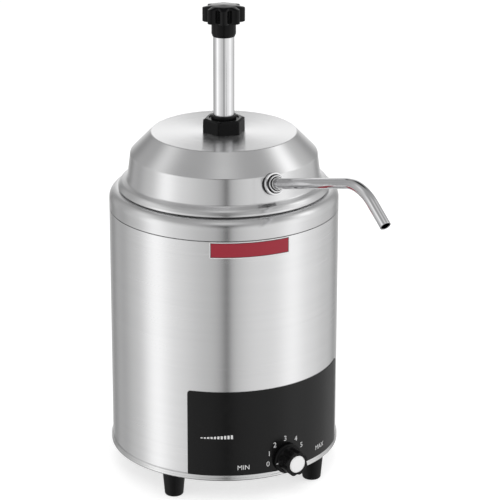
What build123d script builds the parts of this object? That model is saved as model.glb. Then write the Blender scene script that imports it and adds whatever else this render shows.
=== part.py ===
from build123d import *
from math import atan, cos, degrees, radians, sin, sqrt, tan
import os

# Countertop warmer for hot fudge and similar toppings: a round stainless body with a heated water
# well, a lift-out jar, and a lift-off domed lid that carries a plunger pump and its spout.
# Millimetres, +Z up. The origin is on the body's axis in the plane of the feet. The front, where
# the dial and the spout are, is -Y. An azimuth is measured from the front towards +X.

# ---------------------------------------------------------------- driving dimensions
# Fits, shared by all pieces
running_gap = 0.08            # radial, between a moving piece and its guide
fixed_gap = 0.05              # radial, between two pieces that stay together
screw_clearance = 0.3         # radial, round a screw, stud or bush in its hole
nut_corner_share = 0.08       # of a nut's flats, turned off at its corners
clamp_gap = 0.1               # between two pieces that are clamped together
cut_over = 1.0                # how far a cutter runs past the end that it opens
cut_room = 20.0               # the same for a cutter across a curved wall

# Body
body_r = 110.0                # outside of the brushed shell
shell_wall = 0.8
shell_height = 235.5          # from the band's top to the seam
foot_height = 24.5
pan_wall = 1.0
pan_corner_r = 1.2
pan_rim_height = 5.5          # the bright band at the foot of the body
pan_rim_gap = 0.3             # between the shell and the band
vent_length = 24.0            # air slots in the pan
vent_width = 4.0
vent_circle_r = 46.0
vent_count = 6
seam_gap = 0.4                # the dark line under the top ring, with the ring's lap behind it
ring_height = 18.5            # from the seam up to the flat deck
ring_wall = 0.9
shoulder_r = 14.0             # rounding of the top ring
lap_depth = 8.0               # how far the ring's lap reaches down inside the shell
lap_wall = 0.8

# Feet
foot_inset = 12.0             # from the shell's outside in to the feet's circle
foot_azimuths = {"foot_front_left": -59.6, "foot_front_right": 30.4,
                 "foot_rear_right": 120.4, "foot_rear_left": 210.4}
foot_top_r = 11.0
foot_bottom_r = 8.8
foot_edge = 1.6
foot_recess_r = 4.5
foot_recess_depth = 9.0
foot_screw_r = 2.0
foot_screw_overrun = 1.5      # past its nut
screw_head_r = 3.8
screw_head_height = 2.6
screw_head_edge = 1.2
screw_slot_width = 0.9
screw_slot_depth = 1.2
foot_nut_flats = 7.0
foot_nut_height = 3.2

# Water well and jar
well_room = 22.0              # from the shell's outside in to the well's
well_wall = 0.8
well_depth = 184.0
well_corner_r = 12.0
well_flange_width = 9.0
flange_bend_r = 1.5           # of the well's flange and the jar's
deck_hole_room = 1.5          # radial, round the well in the deck
jar_room = 7.0                # radial, from the well's outside in to the jar's
jar_wall = 0.8
jar_floor_room = 12.0         # between the two floors' undersides
jar_corner_r = 14.0
jar_flange_width = 12.0
insulation_inset = 5.0        # from the shell's outside in to the sleeve's
insulation_gap = 0.3          # round the well
insulation_foot = 6.0         # over the well's bottom
insulation_head = 28.0        # below the deck

# Lid: insets are from the shell's outside, heights from the deck
lid_wall = 0.8
lid_seat_gap = 0.1            # the hem's height over the deck plane
lid_hem_inset = 12.0
lid_rim_inset = 8.8
lid_lip_height = 4.0
neck_bottom_inset = 18.0
neck_bottom_height = 13.2
neck_top_inset = 20.6
neck_top_height = 34.5
crown_inset = 40.5
lid_height = 55.0
hem_bend_r = 1.0
lip_bend_r = 3.0
neck_bottom_bend_r = 5.0
neck_top_bend_r = 2.5
crown_bend_r = 1.6

# Pump
tube_r = 10.0                 # plunger tube
tube_wall = 1.0
stroke = 50.0
pump_foot_room = 5.2          # between the jar's floor and the valve body
bush_wall = 1.4
bush_length = 18.0
bush_flange_width = 0.62
bush_flange_height = 4.0
bush_flange_edge = 0.8
head_neck_wall = 2.57         # of the threaded neck round the bush
head_neck_drop = 1.0          # of the neck's end below the nut's top
head_flange_width = 1.6
head_flange_height = 3.0
head_skirt_wall = 1.85
head_skirt_length = 17.0
head_socket_roof = 2.0
nut_wall = 4.0                # of the locking nut at its flats
nut_height = 13.3
nut_edge = 0.8
nut_azimuth = -16.0           # the way one flat of the nut faces
cylinder_r = 15.5
cylinder_wall = 1.3
rod_r = 4.0
rod_end_length = 5.0          # of the rod below the piston
piston_height = 12.0
piston_gap = 0.6              # radial, between the piston and the cylinder
piston_foot_room = 8.0        # below the piston at the end of its stroke
piston_nut_flats = 12.0
piston_nut_height = 4.5
seal_depth = 2.2
seal_height = 4.0
guide_height = 6.0
guide_hole_r = 1.6
guide_hole_circle_r = 11.0
guide_hole_count = 4
plug_height = 10.0
plug_roof = 2.0
spring_wire_r = 0.7
spring_mean_r = 8.0
spring_turns = 9
spring_pressed_length = 16.0  # the room left for the spring at full stroke
tube_end_depth = 11.2         # of the tube's lower end in the cylinder
spring_end_gap = 0.1

# Valve body at the foot of the pump
valve_height = 44.0
valve_wall = 3.45             # round the cylinder
valve_edge = 2.0
valve_rest_gap = 0.05         # between a resting ball and the edge of its seat
socket_depth = 10.0           # of the cylinder in the valve body
intake_r = 5.0
intake_length = 10.0
seat_width = 1.5              # by which the intake ball is larger than its seat's hole
ball_cavity_gap = 1.0
ball_lift = 2.4
stop_pin_r = 1.0
port_r = 3.2
port_rise = 20.5              # of the cross port's axis over the valve's foot
port_floor = 6.0              # from the cross port's axis down to the boss's foot
web_inset = 1.5               # of the web's sides from the boss's
web_drop = 14.0               # of the web's top below the boss's
discharge_seat_rise = 28.0
discharge_seat_width = 1.4
discharge_stop_width = 0.4    # by which the ball is larger than the riser's bore
riser_boss_wall = 3.45
riser_boss_rise = 54.0
riser_spacing = 11.0          # from the valve body's side to the riser's axis

# Spout: in the plane of azimuth 0, so a place is (distance from the axis, height)
spout_r = 5.0
spout_wall = 1.0
riser_bend_r = 20.0
spout_slope = 15.8            # degrees above the horizon
spout_rise = 26.9             # from the deck up to where its axis leaves the lid's neck
spout_run = 147.4             # from the neck out to the bend's corner
spout_bend_r = 55.0
spout_tip_slope = 35.0        # degrees below the horizon
spout_end_length = 48.5       # from the corner to the cut end
collar_width = 3.9            # of the bushing's flange round its shank
collar_low = 2.3              # along the spout's axis, from the neck's wall
collar_high = 5.2
collar_edge = 0.7
collar_nut_width = 1.4
collar_nut_length = 2.8
collar_gland_wall = 1.35
collar_gland_length = 1.6
shank_wall = 1.75
shank_depth = 11.0
shank_socket = 3.0            # of the riser's end in the shank
backing_washer_width = 2.6
backing_depth = 3.4
backing_nut_width = 2.2
backing_nut_height = 4.5

# Plunger knob
knob_r = 20.0
knob_lobes = 8
knob_lobe_r = 3.5
knob_valley_r = 3.1
knob_valley_depth = 6.0
knob_azimuth = -30.0          # the way one lobe points
knob_rest_room = 29.0         # left over the guide bush when the knob is pressed down
knob_neck_wall = 1.55
knob_neck_length = 11.5
knob_neck_edge = 1.2
knob_head_height = 13.4
knob_dome_height = 2.6
knob_socket_depth = 12.7
stud_r = 4.0
stud_hole_drop = 4.2          # of the stud's hole below the head's edge
stud_end_gap = 0.5

# Temperature dial
dial_azimuth = 2.4
dial_rise = 11.2              # of its axis over the band
dial_gap = 1.7                # between the panel and the skirt
dial_skirt_r = 14.75
dial_skirt_height = 2.6
dial_skirt_edge = 1.0
dial_grip_r = 11.2
dial_grip_tip_r = 10.4
dial_grip_length = 14.6
dial_grip_edge = 0.8
dial_flutes = 8
dial_flute_r = 3.0
dial_flute_floor_r = 9.9
dial_cap_r = 8.8
dial_cap_depth = 0.8
dial_cap_proud = 0.3
dial_cap_edge = 0.25
dial_bore_roof = 4.0
dial_hollow_r = 9.4
dial_hollow_depth = 3.4
shaft_r = 3.0
shaft_end_gap = 0.5
shaft_foot = 6.0              # of the shaft inside the thermostat
shaft_flat = 0.5              # depth of the flat
shaft_flat_start = 3.0        # from the dial's back out to the flat
thermostat_width = 36.0
thermostat_height = 28.0
thermostat_depth = 28.0
thermostat_edge = 2.0
thermostat_room = 2.0         # between its face and the shell
thermostat_bush_r = 5.0
thermostat_shoulder_r = 8.0
blade_width = 6.3
blade_wall = 0.8
blade_length = 8.0
blade_spacing = 10.0          # from the thermostat's middle
bush_nut_height = 2.0
bush_nut_flats = 14.0
panel_glue = 0.2              # adhesive between the shell and the overlay
panel_wall = 0.3
panel_half_angle = 48.5
panel_height = 85.5
panel_corner_r = 3.0

# Heater under the well: drops are from the well's bottom
heater_ring_inset = 36.0      # from the well's outside in to the ring
heater_tube_r = 4.0
heater_gap_angle = 24.0       # half the opening of the ring, at the back
heater_leg_bend_r = 8.0
heater_leg_drop = 34.0
heater_leg_room = 3.4         # round each leg where it passes the clamp
clamp_wall = 1.2
clamp_width = 10.0            # of the clamp outside the ring's middle
clamp_hole_r = 12.0
heater_stud_inset = 18.0      # from the ring in to the studs
heater_stud_azimuths = (60.0, 180.0, 300.0)
heater_stud_r = 2.5
heater_stud_drop = 18.0
stud_nut_flats = 8.0
stud_nut_height = 4.0
tie_inset = 14.0              # from the well's outside in to the ties
tie_azimuths = (75.0, 195.0, 315.0)
tie_stud_r = 2.5
tie_overrun = 2.0
bulb_r = 3.0
bulb_end_room = 10.0          # from the bulb's right end to the ring
bulb_offset = 2.0             # of the bulb towards the front
capillary_r = 0.8
capillary_bend_r = 5.0
capillary_lead = 10.0         # from the ring in to the drop, and on to the bulb
capillary_rise = 18.8         # of its low run over the dial's axis
capillary_entry_rise = 4.8    # of its end over the dial's axis
capillary_entry_offset = 12.0
capillary_hole_r = 3.0
cutout_r = 8.0
cutout_height = 7.0
cutout_edge = 1.0
cutout_reach = 30.0
cutout_azimuth = 150.0
cutout_blade_width = 5.0
cutout_blade_length = 6.0
earth_x = -40.0
earth_y = 44.0
earth_head_r = 4.0
earth_head_height = 2.8
earth_screw_length = 4.0

# Mains entry at the back
gland_azimuth = 180.0
gland_rise = 22.0             # of its axis over the band
gland_stand = 0.4             # of its flange off the shell
gland_thread_r = 8.0
gland_flange_flats = 20.0
gland_flange_height = 4.0
gland_inner_length = 10.0
gland_outer_length = 7.0
gland_bore_r = 5.6
gland_cap_r = 10.0
gland_cap_length = 13.0
gland_cap_dome_r = 4.0
gland_cap_mouth_r = 4.6
gland_end_gap = 0.5
gland_seal_bore_r = 3.6
gland_seal_length = 10.0
gland_nut_height = 4.0
block_width = 34.0
block_depth = 20.0
block_height = 16.0
block_edge = 2.0
block_x = 34.0
block_y = 48.0
block_well_r = 2.2
block_well_depth = 6.0
block_well_pitch = 10.0

# ---------------------------------------------------------------- worked-out sizes
# Heights of the body
pan_floor_z = foot_height + pan_wall
band_z = foot_height + pan_rim_height
seam_z = band_z + shell_height
deck_z = seam_z + ring_height
well_bottom_z = deck_z - well_depth
well_flange_top = deck_z + well_wall
jar_bottom_z = well_bottom_z + jar_floor_room
dial_z = band_z + dial_rise
gland_z = band_z + gland_rise
# Radii of the body
shell_inner_r = body_r - shell_wall
panel_r = body_r + panel_glue + panel_wall
foot_circle_r = body_r - foot_inset
well_r = body_r - well_room
deck_hole_r = well_r + deck_hole_room
well_flange_r = well_r + well_flange_width
jar_r = well_r - jar_room
jar_flange_r = jar_r + jar_flange_width
heater_ring_r = well_r - heater_ring_inset
heater_stud_circle_r = heater_ring_r - heater_stud_inset
tie_circle_r = well_r - tie_inset
# Lid
neck_bottom_r = body_r - neck_bottom_inset
neck_bottom_z = deck_z + neck_bottom_height
neck_top_r = body_r - neck_top_inset
neck_top_z = deck_z + neck_top_height
crown_r = body_r - crown_inset
lid_top_z = deck_z + lid_height
lid_under_z = lid_top_z - lid_wall
# Pump head and barrel
bush_r = tube_r + running_gap + bush_wall
bush_flange_r = bush_r + bush_flange_width
head_neck_r = bush_r + fixed_gap + head_neck_wall
head_skirt_r = cylinder_r + fixed_gap + head_skirt_wall
head_flange_r = head_skirt_r + head_flange_width
head_bottom_z = lid_under_z - head_flange_height
head_neck_top = lid_top_z + nut_height - head_neck_drop
bush_flange_top = head_neck_top + bush_flange_height
cylinder_inner_r = cylinder_r - cylinder_wall
cylinder_top_z = head_bottom_z - head_socket_roof
valve_bottom_z = jar_bottom_z + jar_wall + pump_foot_room
valve_top_z = valve_bottom_z + valve_height
valve_r = cylinder_r + fixed_gap + valve_wall
cylinder_bottom_z = valve_top_z - socket_depth
intake_ball_r = intake_r + seat_width
intake_seat_z = valve_bottom_z + intake_length
port_z = valve_bottom_z + port_rise
discharge_ball_r = spout_r - spout_wall + discharge_stop_width
discharge_seat_r = discharge_ball_r - discharge_seat_width
discharge_seat_z = valve_bottom_z + discharge_seat_rise
riser_boss_r = spout_r + fixed_gap + riser_boss_wall
riser_boss_top_z = valve_bottom_z + riser_boss_rise
riser_reach = valve_r + riser_spacing
# Plunger
piston_low_z = cylinder_bottom_z + piston_foot_room + stroke
piston_high_z = piston_low_z + piston_height
piston_r = cylinder_inner_r - piston_gap
tube_bottom_z = cylinder_top_z - tube_end_depth
guide_high_z = tube_bottom_z - spring_pressed_length - stroke
guide_low_z = guide_high_z - guide_height
plug_top_z = tube_bottom_z + plug_height
knob_neck_r = tube_r + fixed_gap + knob_neck_wall
knob_neck_z = bush_flange_top + stroke + knob_rest_room
knob_low_z = knob_neck_z + knob_neck_length
knob_high_z = knob_low_z + knob_head_height
knob_valley_floor_r = knob_r - knob_valley_depth
tube_top_z = knob_neck_z + knob_socket_depth
stud_hole_top_z = knob_high_z - stud_hole_drop
# Spout and its collar
spout_wall_z = deck_z + spout_rise
neck_share = (spout_rise - neck_bottom_height) / (neck_top_height - neck_bottom_height)
spout_wall_reach = neck_bottom_r + (neck_top_r - neck_bottom_r) * neck_share
spout_corner_reach = spout_wall_reach + spout_run
shank_r = spout_r + fixed_gap + shank_wall
joint_reach = spout_wall_reach - (shank_depth - shank_socket) * cos(radians(spout_slope))
# Dial
dial_back = panel_r + dial_gap
dial_tip = dial_back + dial_skirt_height + dial_grip_length
thermostat_face = shell_inner_r - thermostat_room
bush_nut_end = panel_r + bush_nut_height
# Heater
clamp_r = heater_ring_r + clamp_width
clamp_top_z = well_bottom_z - 2 * (heater_tube_r + clamp_gap)
clamp_low_z = clamp_top_z - clamp_wall
capillary_x = -(heater_ring_r - heater_tube_r - capillary_lead)
bulb_start = capillary_x + capillary_lead
bulb_stop = heater_ring_r - heater_tube_r - bulb_end_room - heater_tube_r
# Gland
gland_flange_z = body_r + gland_stand
gland_flange_top = gland_flange_z + gland_flange_height


# ---------------------------------------------------------------- helpers
def post(radius, z0, z1):
    """An upright solid cylinder on the body's axis, from z0 to z1."""
    return Pos(0, 0, z0) * Cylinder(radius, z1 - z0, align=(Align.CENTER, Align.CENTER, Align.MIN))


def pipe(outer_r, inner_r, z0, z1):
    """An upright tube on the body's axis, from z0 to z1."""
    return post(outer_r, z0, z1) - post(inner_r, z0 - cut_over, z1 + cut_over)


def hexagon(across_flats, z0, z1):
    """An upright hexagonal prism on the body's axis, one flat towards the front."""
    prism = extrude(RegularPolygon(across_flats / 2, 6, major_radius=False), z1 - z0)
    return Pos(0, 0, z0) * Rot(0, 0, 30) * prism


def hex_nut(across_flats, bore_r, z0, z1):
    """A hexagonal nut whose corners are turned off at both ends."""
    turned_off = nut_corner_share * across_flats
    corner_r = across_flats / sqrt(3)
    blank = turned((0, z0), (corner_r - turned_off, z0), (corner_r, z0 + turned_off / 2),
                   (corner_r, z1 - turned_off / 2), (corner_r - turned_off, z1), (0, z1))
    return (hexagon(across_flats, z0, z1) & blank) - post(bore_r, z0 - cut_over, z1 + cut_over)


def turned(*points):
    """A solid turned about the body's axis from a closed outline of (radius, height) points."""
    return revolve(make_face(Plane.XZ * Polyline(*points, close=True)), Axis.Z)


def spun(points, radii, wall, side):
    """A sheet-metal form spun about the body's axis: one face of the sheet follows the points,
    with a rounding at each inner point, and the wall lies on the given side of that line."""
    line = FilletPolyline(*points, radius=radii)
    return revolve(make_face(Plane.XZ * offset(line, wall, side=side, closed=True)), Axis.Z)


def placed(azimuth, reach, z, shape):
    """The shape, moved out from the axis to that distance and height, then turned to the azimuth.
    Its own -Y then points away from the body."""
    return Rot(0, 0, azimuth) * Pos(0, -reach, z) * shape


def along_radius(azimuth, z, shape):
    """A shape made upright on the axis, laid down so that its height runs out along the azimuth."""
    return Rot(0, 0, azimuth) * Pos(0, 0, z) * Rot(90, 0, 0) * shape


def through_wall(azimuth, z, radius):
    """A cutter for a round hole through the body's wall, out along the azimuth."""
    return along_radius(azimuth, z, post(radius, body_r - cut_room, body_r + cut_room))


def around(azimuths, reach, shape):
    """Copies of an upright shape at that distance from the axis, as one group of solids."""
    return Compound([placed(azimuth, reach, 0, shape) for azimuth in azimuths])


def in_spout_plane(reach, z):
    """A point of the upright plane that the spout lies in."""
    return (0, -reach, z)


def along_spout(shape):
    """A shape made upright on the axis, laid along the spout with its z = 0 at the neck's wall."""
    return Pos(0, -spout_wall_reach, spout_wall_z) * Rot(90 - spout_slope, 0, 0) * shape


# ---------------------------------------------------------------- body
def base_pan():
    """Pressed floor pan with the bright upturned band, and holes for feet, ties and air."""
    rim_r = body_r + pan_rim_gap + pan_wall
    pan = spun([(0.0, foot_height), (rim_r, foot_height), (rim_r, band_z)],
               pan_corner_r, pan_wall, Side.LEFT)
    hole = post(foot_screw_r + screw_clearance, 0, band_z)
    for azimuth in foot_azimuths.values():
        pan -= placed(azimuth, foot_circle_r, 0, hole)
    for azimuth in tie_azimuths:
        pan -= placed(azimuth, tie_circle_r, 0, post(tie_stud_r + screw_clearance, 0, band_z))
    pan -= Pos(earth_x, earth_y, 0) * hole
    opening = SlotOverall(vent_length, vent_width)
    slot = Pos(0, 0, foot_height) * extrude(opening, 3 * pan_wall, both=True)
    for index in range(vent_count):
        pan -= placed(index * 360 / vent_count, vent_circle_r, 0, slot)
    return pan


def foot(azimuth):
    """Tapered rubber foot, hollowed from below for its screw."""
    leg = turned((0, 0), (foot_bottom_r - foot_edge, 0), (foot_bottom_r, foot_edge),
                 (foot_top_r, foot_height), (0, foot_height))
    leg -= post(foot_recess_r, -cut_over, foot_recess_depth)
    leg -= post(foot_screw_r + screw_clearance, 0, foot_height + cut_over)
    return placed(azimuth, foot_circle_r, 0, leg)


def foot_screw():
    """Pan-head screw that holds a foot."""
    head_z = foot_recess_depth - screw_head_height
    shank_top = pan_floor_z + foot_nut_height + foot_screw_overrun
    head = post(screw_head_r, head_z, foot_recess_depth)
    head = fillet(head.edges().sort_by(Axis.Z)[0], screw_head_edge)
    slot = Pos(0, 0, head_z) * Box(screw_slot_width, 2 * screw_head_r, 2 * screw_slot_depth)
    return (head - slot) + post(foot_screw_r, foot_recess_depth, shank_top)


def foot_nut():
    """Hexagonal nut on a foot's screw, on the floor of the pan."""
    return hex_nut(foot_nut_flats, foot_screw_r + fixed_gap, pan_floor_z, pan_floor_z + foot_nut_height)


def outer_shell():
    """Brushed cylinder, rolled from sheet, with holes for the dial's bush and the cord gland."""
    shell = pipe(body_r, shell_inner_r, pan_floor_z, seam_z - seam_gap)
    shell -= through_wall(dial_azimuth, dial_z, thermostat_bush_r + screw_clearance)
    return shell - through_wall(gland_azimuth, gland_z, gland_thread_r + screw_clearance)


def top_ring():
    """Rounded ring that closes the body, with the deck round the well and the lap in the shell."""
    ring = spun([(deck_hole_r, deck_z), (body_r, deck_z), (body_r, seam_z)],
                shoulder_r, ring_wall, Side.RIGHT)
    lap_r = body_r - ring_wall
    return ring + pipe(lap_r, lap_r - lap_wall, seam_z - lap_depth, deck_z - shoulder_r)


def water_well():
    """Deep-drawn water vessel that hangs by its flange on the deck."""
    return spun([(well_flange_r, deck_z), (well_r, deck_z), (well_r, well_bottom_z),
                 (0.0, well_bottom_z)], [flange_bend_r, well_corner_r], well_wall, Side.RIGHT)


def well_insulation():
    """Sleeve of glass-fibre wool round the well."""
    return pipe(body_r - insulation_inset, well_r + insulation_gap,
                well_bottom_z + insulation_foot, deck_z - insulation_head)


def control_panel():
    """Thin curved overlay round the dial, with its upper corners rounded."""
    sheet = pipe(panel_r, panel_r - panel_wall, band_z, band_z + panel_height)
    width = 2 * body_r * sin(radians(panel_half_angle))
    outline = extrude(Pos(0, band_z + panel_height / 2) * Rectangle(width, panel_height), 2 * body_r)
    upright = outline.edges().filter_by(Axis.Z).group_by(Axis.Y)[-1]
    window = Rot(90, 0, 0) * fillet(upright, panel_corner_r)
    sheet = sheet & window
    return sheet - through_wall(dial_azimuth, dial_z, thermostat_bush_r + screw_clearance)


# ---------------------------------------------------------------- jar
def jar():
    """Lift-out jar for the topping, hanging by its flange on the well's flange."""
    return spun([(jar_flange_r, well_flange_top), (jar_r, well_flange_top), (jar_r, jar_bottom_z),
                 (0.0, jar_bottom_z)], [flange_bend_r, jar_corner_r], jar_wall, Side.RIGHT)


# ---------------------------------------------------------------- lid and what is fixed to it
def lid_outline():
    """The lid's outer line, from the hem up to the pump's hole."""
    seat_z = deck_z + lid_seat_gap
    rim_r = body_r - lid_rim_inset
    return [(body_r - lid_hem_inset, seat_z), (rim_r, seat_z), (rim_r, deck_z + lid_lip_height),
            (neck_bottom_r, neck_bottom_z), (neck_top_r, neck_top_z), (crown_r, lid_top_z),
            (head_neck_r + screw_clearance, lid_top_z)]


def lid_sheet():
    """The lid's sheet before the spout's hole is cut."""
    radii = [hem_bend_r, lip_bend_r, neck_bottom_bend_r, neck_top_bend_r, crown_bend_r]
    return spun(lid_outline(), radii, lid_wall, Side.LEFT)


def lid():
    """Spun lid: hem, flared rim, tapered neck, cone and flat crown, with the pump's two holes."""
    return lid_sheet() - along_spout(post(shank_r + screw_clearance, -cut_room, cut_room))


def pump_head():
    """Turned head: flange under the crown, threaded neck through it, socket for the cylinder."""
    skirt_bottom = head_bottom_z - head_skirt_length
    return turned((cylinder_r + fixed_gap, skirt_bottom), (head_skirt_r, skirt_bottom),
                  (head_skirt_r, head_bottom_z), (head_flange_r, head_bottom_z),
                  (head_flange_r, lid_under_z), (head_neck_r, lid_under_z),
                  (head_neck_r, head_neck_top), (bush_r + fixed_gap, head_neck_top),
                  (bush_r + fixed_gap, cylinder_top_z), (cylinder_r + fixed_gap, cylinder_top_z))


def locking_nut():
    """Moulded hexagonal nut that holds the pump in the crown."""
    nut_top = lid_top_z + nut_height
    nut = hexagon(2 * (head_neck_r + nut_wall), lid_top_z, nut_top)
    nut = chamfer(nut.edges().group_by(Axis.Z)[-1], nut_edge)
    nut -= post(head_neck_r + fixed_gap, lid_top_z - cut_over, nut_top + cut_over)
    return Rot(0, 0, nut_azimuth) * nut


def guide_bush():
    """Flanged plastic bush that the plunger's tube slides in."""
    bore_r = tube_r + running_gap
    return turned((bore_r, head_neck_top - bush_length), (bush_r, head_neck_top - bush_length),
                  (bush_r, head_neck_top), (bush_flange_r, head_neck_top),
                  (bush_flange_r, bush_flange_top - bush_flange_edge),
                  (bush_flange_r - bush_flange_edge, bush_flange_top), (bore_r, bush_flange_top))


def pump_cylinder():
    """Pump barrel, from the valve body up into the head."""
    return pipe(cylinder_r, cylinder_inner_r, cylinder_bottom_z, cylinder_top_z)


def spring_guide():
    """Washer in the barrel that the spring stands on and the piston rod runs through."""
    guide = pipe(cylinder_inner_r - fixed_gap, rod_r + running_gap, guide_low_z, guide_high_z)
    hole = post(guide_hole_r, guide_low_z - cut_over, guide_high_z + cut_over)
    for index in range(guide_hole_count):
        guide -= placed(index * 360 / guide_hole_count, guide_hole_circle_r, 0, hole)
    return guide


def intake_ball_z():
    """Height of the intake ball's centre when it rests on its seat."""
    return intake_seat_z + sqrt(intake_ball_r ** 2 - intake_r ** 2) + valve_rest_gap


def discharge_ball_z():
    """Height of the discharge ball's centre when it rests on its seat."""
    return discharge_seat_z + sqrt(discharge_ball_r ** 2 - discharge_seat_r ** 2) + valve_rest_gap


def riser_bottom_z():
    """Height of the riser's lower end, which stops the discharge ball."""
    inner_r = spout_r - spout_wall
    return discharge_ball_z() + sqrt(discharge_ball_r ** 2 - inner_r ** 2) + ball_lift


def valve_body():
    """Block at the pump's foot: intake seat and chamber on the axis, discharge seat in the boss."""
    cavity_r = intake_ball_r + ball_cavity_gap
    boss_low = port_z - port_floor
    web_top = riser_boss_top_z - web_drop
    web_width = 2 * (riser_boss_r - web_inset)
    block = post(valve_r, valve_bottom_z, valve_top_z)
    block = fillet(block.edges().sort_by(Axis.Z)[0], valve_edge)
    boss = placed(0, riser_reach, 0, post(riser_boss_r, boss_low, riser_boss_top_z))
    web = Pos(0, -riser_reach / 2, (boss_low + web_top) / 2) * Box(
        web_width, riser_reach, web_top - boss_low)
    body = block + boss + web
    body -= post(intake_r, valve_bottom_z - cut_over, intake_seat_z + cut_over)
    body -= post(cavity_r, intake_seat_z, cylinder_bottom_z + cut_over)
    body -= post(cylinder_r + fixed_gap, cylinder_bottom_z, valve_top_z + cut_over)
    body -= placed(0, 0, port_z, Rot(90, 0, 0) * post(port_r, 0, riser_reach))
    body -= placed(0, riser_reach, 0, post(discharge_seat_r, port_z, discharge_seat_z + cut_over))
    socket = post(spout_r + fixed_gap, discharge_seat_z, riser_boss_top_z + cut_over)
    return body - placed(0, riser_reach, 0, socket)


def ball_stop():
    """Cross pin over the intake ball, which limits its lift."""
    z = intake_ball_z() + intake_ball_r + ball_lift + stop_pin_r
    length = 2 * (intake_ball_r + ball_cavity_gap) - 2 * fixed_gap
    return Pos(0, 0, z) * Rot(0, 90, 0) * Cylinder(stop_pin_r, length)


def spout_height(reach):
    """Height of the spout's straight run at that distance from the body's axis."""
    return spout_wall_z + (reach - spout_wall_reach) * tan(radians(spout_slope))


def bent_tube(path, outer_r, wall):
    """A round tube along a path."""
    start = Plane(origin=path @ 0, z_dir=path % 0)
    return sweep(start * Circle(outer_r), path=path) - sweep(start * Circle(outer_r - wall), path=path)


def riser_tube():
    """Inner half of the discharge tube: up beside the barrel, then out to the lid's bushing."""
    path = FilletPolyline(in_spout_plane(riser_reach, riser_bottom_z()),
                          in_spout_plane(riser_reach, spout_height(riser_reach)),
                          in_spout_plane(joint_reach, spout_height(joint_reach)),
                          radius=riser_bend_r)
    return bent_tube(path, spout_r, spout_wall)


def spout_tube():
    """Outer half of the discharge tube: a long rising run, a bend, and the tip cut square."""
    corner = (spout_corner_reach, spout_height(spout_corner_reach))
    tip = (corner[0] + spout_end_length * cos(radians(spout_tip_slope)),
           corner[1] - spout_end_length * sin(radians(spout_tip_slope)))
    path = FilletPolyline(in_spout_plane(joint_reach, spout_height(joint_reach)),
                          in_spout_plane(*corner), in_spout_plane(*tip), radius=spout_bend_r)
    return bent_tube(path, spout_r, spout_wall)


def spout_bushing():
    """Flanged and threaded bushing that carries the tube through the neck."""
    bore_r = spout_r + fixed_gap
    flange = post(shank_r + collar_width, collar_low, collar_high)
    flange = chamfer(flange.edges().sort_by(Axis.Z)[-1], collar_edge)
    shank = post(shank_r, -shank_depth, collar_low)
    return along_spout(flange + shank - post(bore_r, -shank_depth - cut_over, collar_high + cut_over))


def spout_collar_nut():
    """Round nut over the bushing with the small gland that grips the tube."""
    bore_r = spout_r + fixed_gap
    step = collar_high + collar_nut_length
    end = step + collar_gland_length
    nut = post(shank_r + collar_nut_width, collar_high, step)
    nut = chamfer(nut.edges().sort_by(Axis.Z)[-1], collar_edge)
    gland = post(bore_r + collar_gland_wall, step, end)
    gland = chamfer(gland.edges().sort_by(Axis.Z)[-1], collar_edge / 2)
    return along_spout(nut + gland - post(bore_r, collar_high - cut_over, end + cut_over))


def spout_saddle():
    """Black seal between the bushing's flange and the neck, shaped to the neck's face."""
    ring = pipe(shank_r + collar_width, shank_r + fixed_gap, -backing_depth, collar_low)
    return (along_spout(ring) - lid_sheet()).solids().sort_by(Axis.Y)[0]


def backing_washer():
    """Saddle washer inside the neck, under the backing nut."""
    ring = pipe(shank_r + backing_washer_width, shank_r + fixed_gap, -backing_depth, collar_low)
    return (along_spout(ring) - lid_sheet()).solids().sort_by(Axis.Y)[-1]


def backing_nut():
    """Hexagonal nut on the bushing's thread, inside the lid."""
    low = -backing_depth - backing_nut_height
    flats = 2 * (shank_r + backing_nut_width)
    return along_spout(hex_nut(flats, shank_r + fixed_gap, low, -backing_depth))


# ---------------------------------------------------------------- plunger
def plunger_tube():
    """Polished tube between the knob and the pump."""
    return pipe(tube_r, tube_r - tube_wall, tube_bottom_z, tube_top_z)


def tube_plug():
    """Plug in the tube's lower end, which pushes the spring and holds the piston rod."""
    plug = post(tube_r - tube_wall - fixed_gap, tube_bottom_z, plug_top_z)
    return plug - post(rod_r + fixed_gap, tube_bottom_z - cut_over, plug_top_z - plug_roof)


def piston_rod():
    """Rod from the plug down to the piston."""
    return post(rod_r, piston_low_z - rod_end_length, plug_top_z - plug_roof)


def piston():
    """Moulded piston with a groove for its seal."""
    body = pipe(piston_r, rod_r + fixed_gap, piston_low_z, piston_high_z)
    middle = (piston_low_z + piston_high_z) / 2
    groove = pipe(piston_r + cut_over, piston_r - seal_depth, middle - seal_height / 2,
                  middle + seal_height / 2)
    return body - groove


def piston_seal():
    """Seal ring in the piston's groove."""
    middle = (piston_low_z + piston_high_z) / 2
    half = seal_height / 2 - clamp_gap
    return pipe(cylinder_inner_r - running_gap, piston_r - seal_depth + fixed_gap,
                middle - half, middle + half)


def piston_nut():
    """Nut under the piston."""
    return hex_nut(piston_nut_flats, rod_r + fixed_gap, piston_low_z - piston_nut_height, piston_low_z)


def return_spring():
    """Coil spring from the guide washer up to the plug."""
    low = guide_high_z + spring_wire_r + spring_end_gap
    high = tube_bottom_z - spring_wire_r - spring_end_gap
    path = Helix((high - low) / spring_turns, high - low, spring_mean_r, center=(0, 0, low))
    section = Plane(origin=path @ 0, z_dir=path % 0) * Circle(spring_wire_r)
    return sweep(section, path=path, is_frenet=True)


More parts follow.
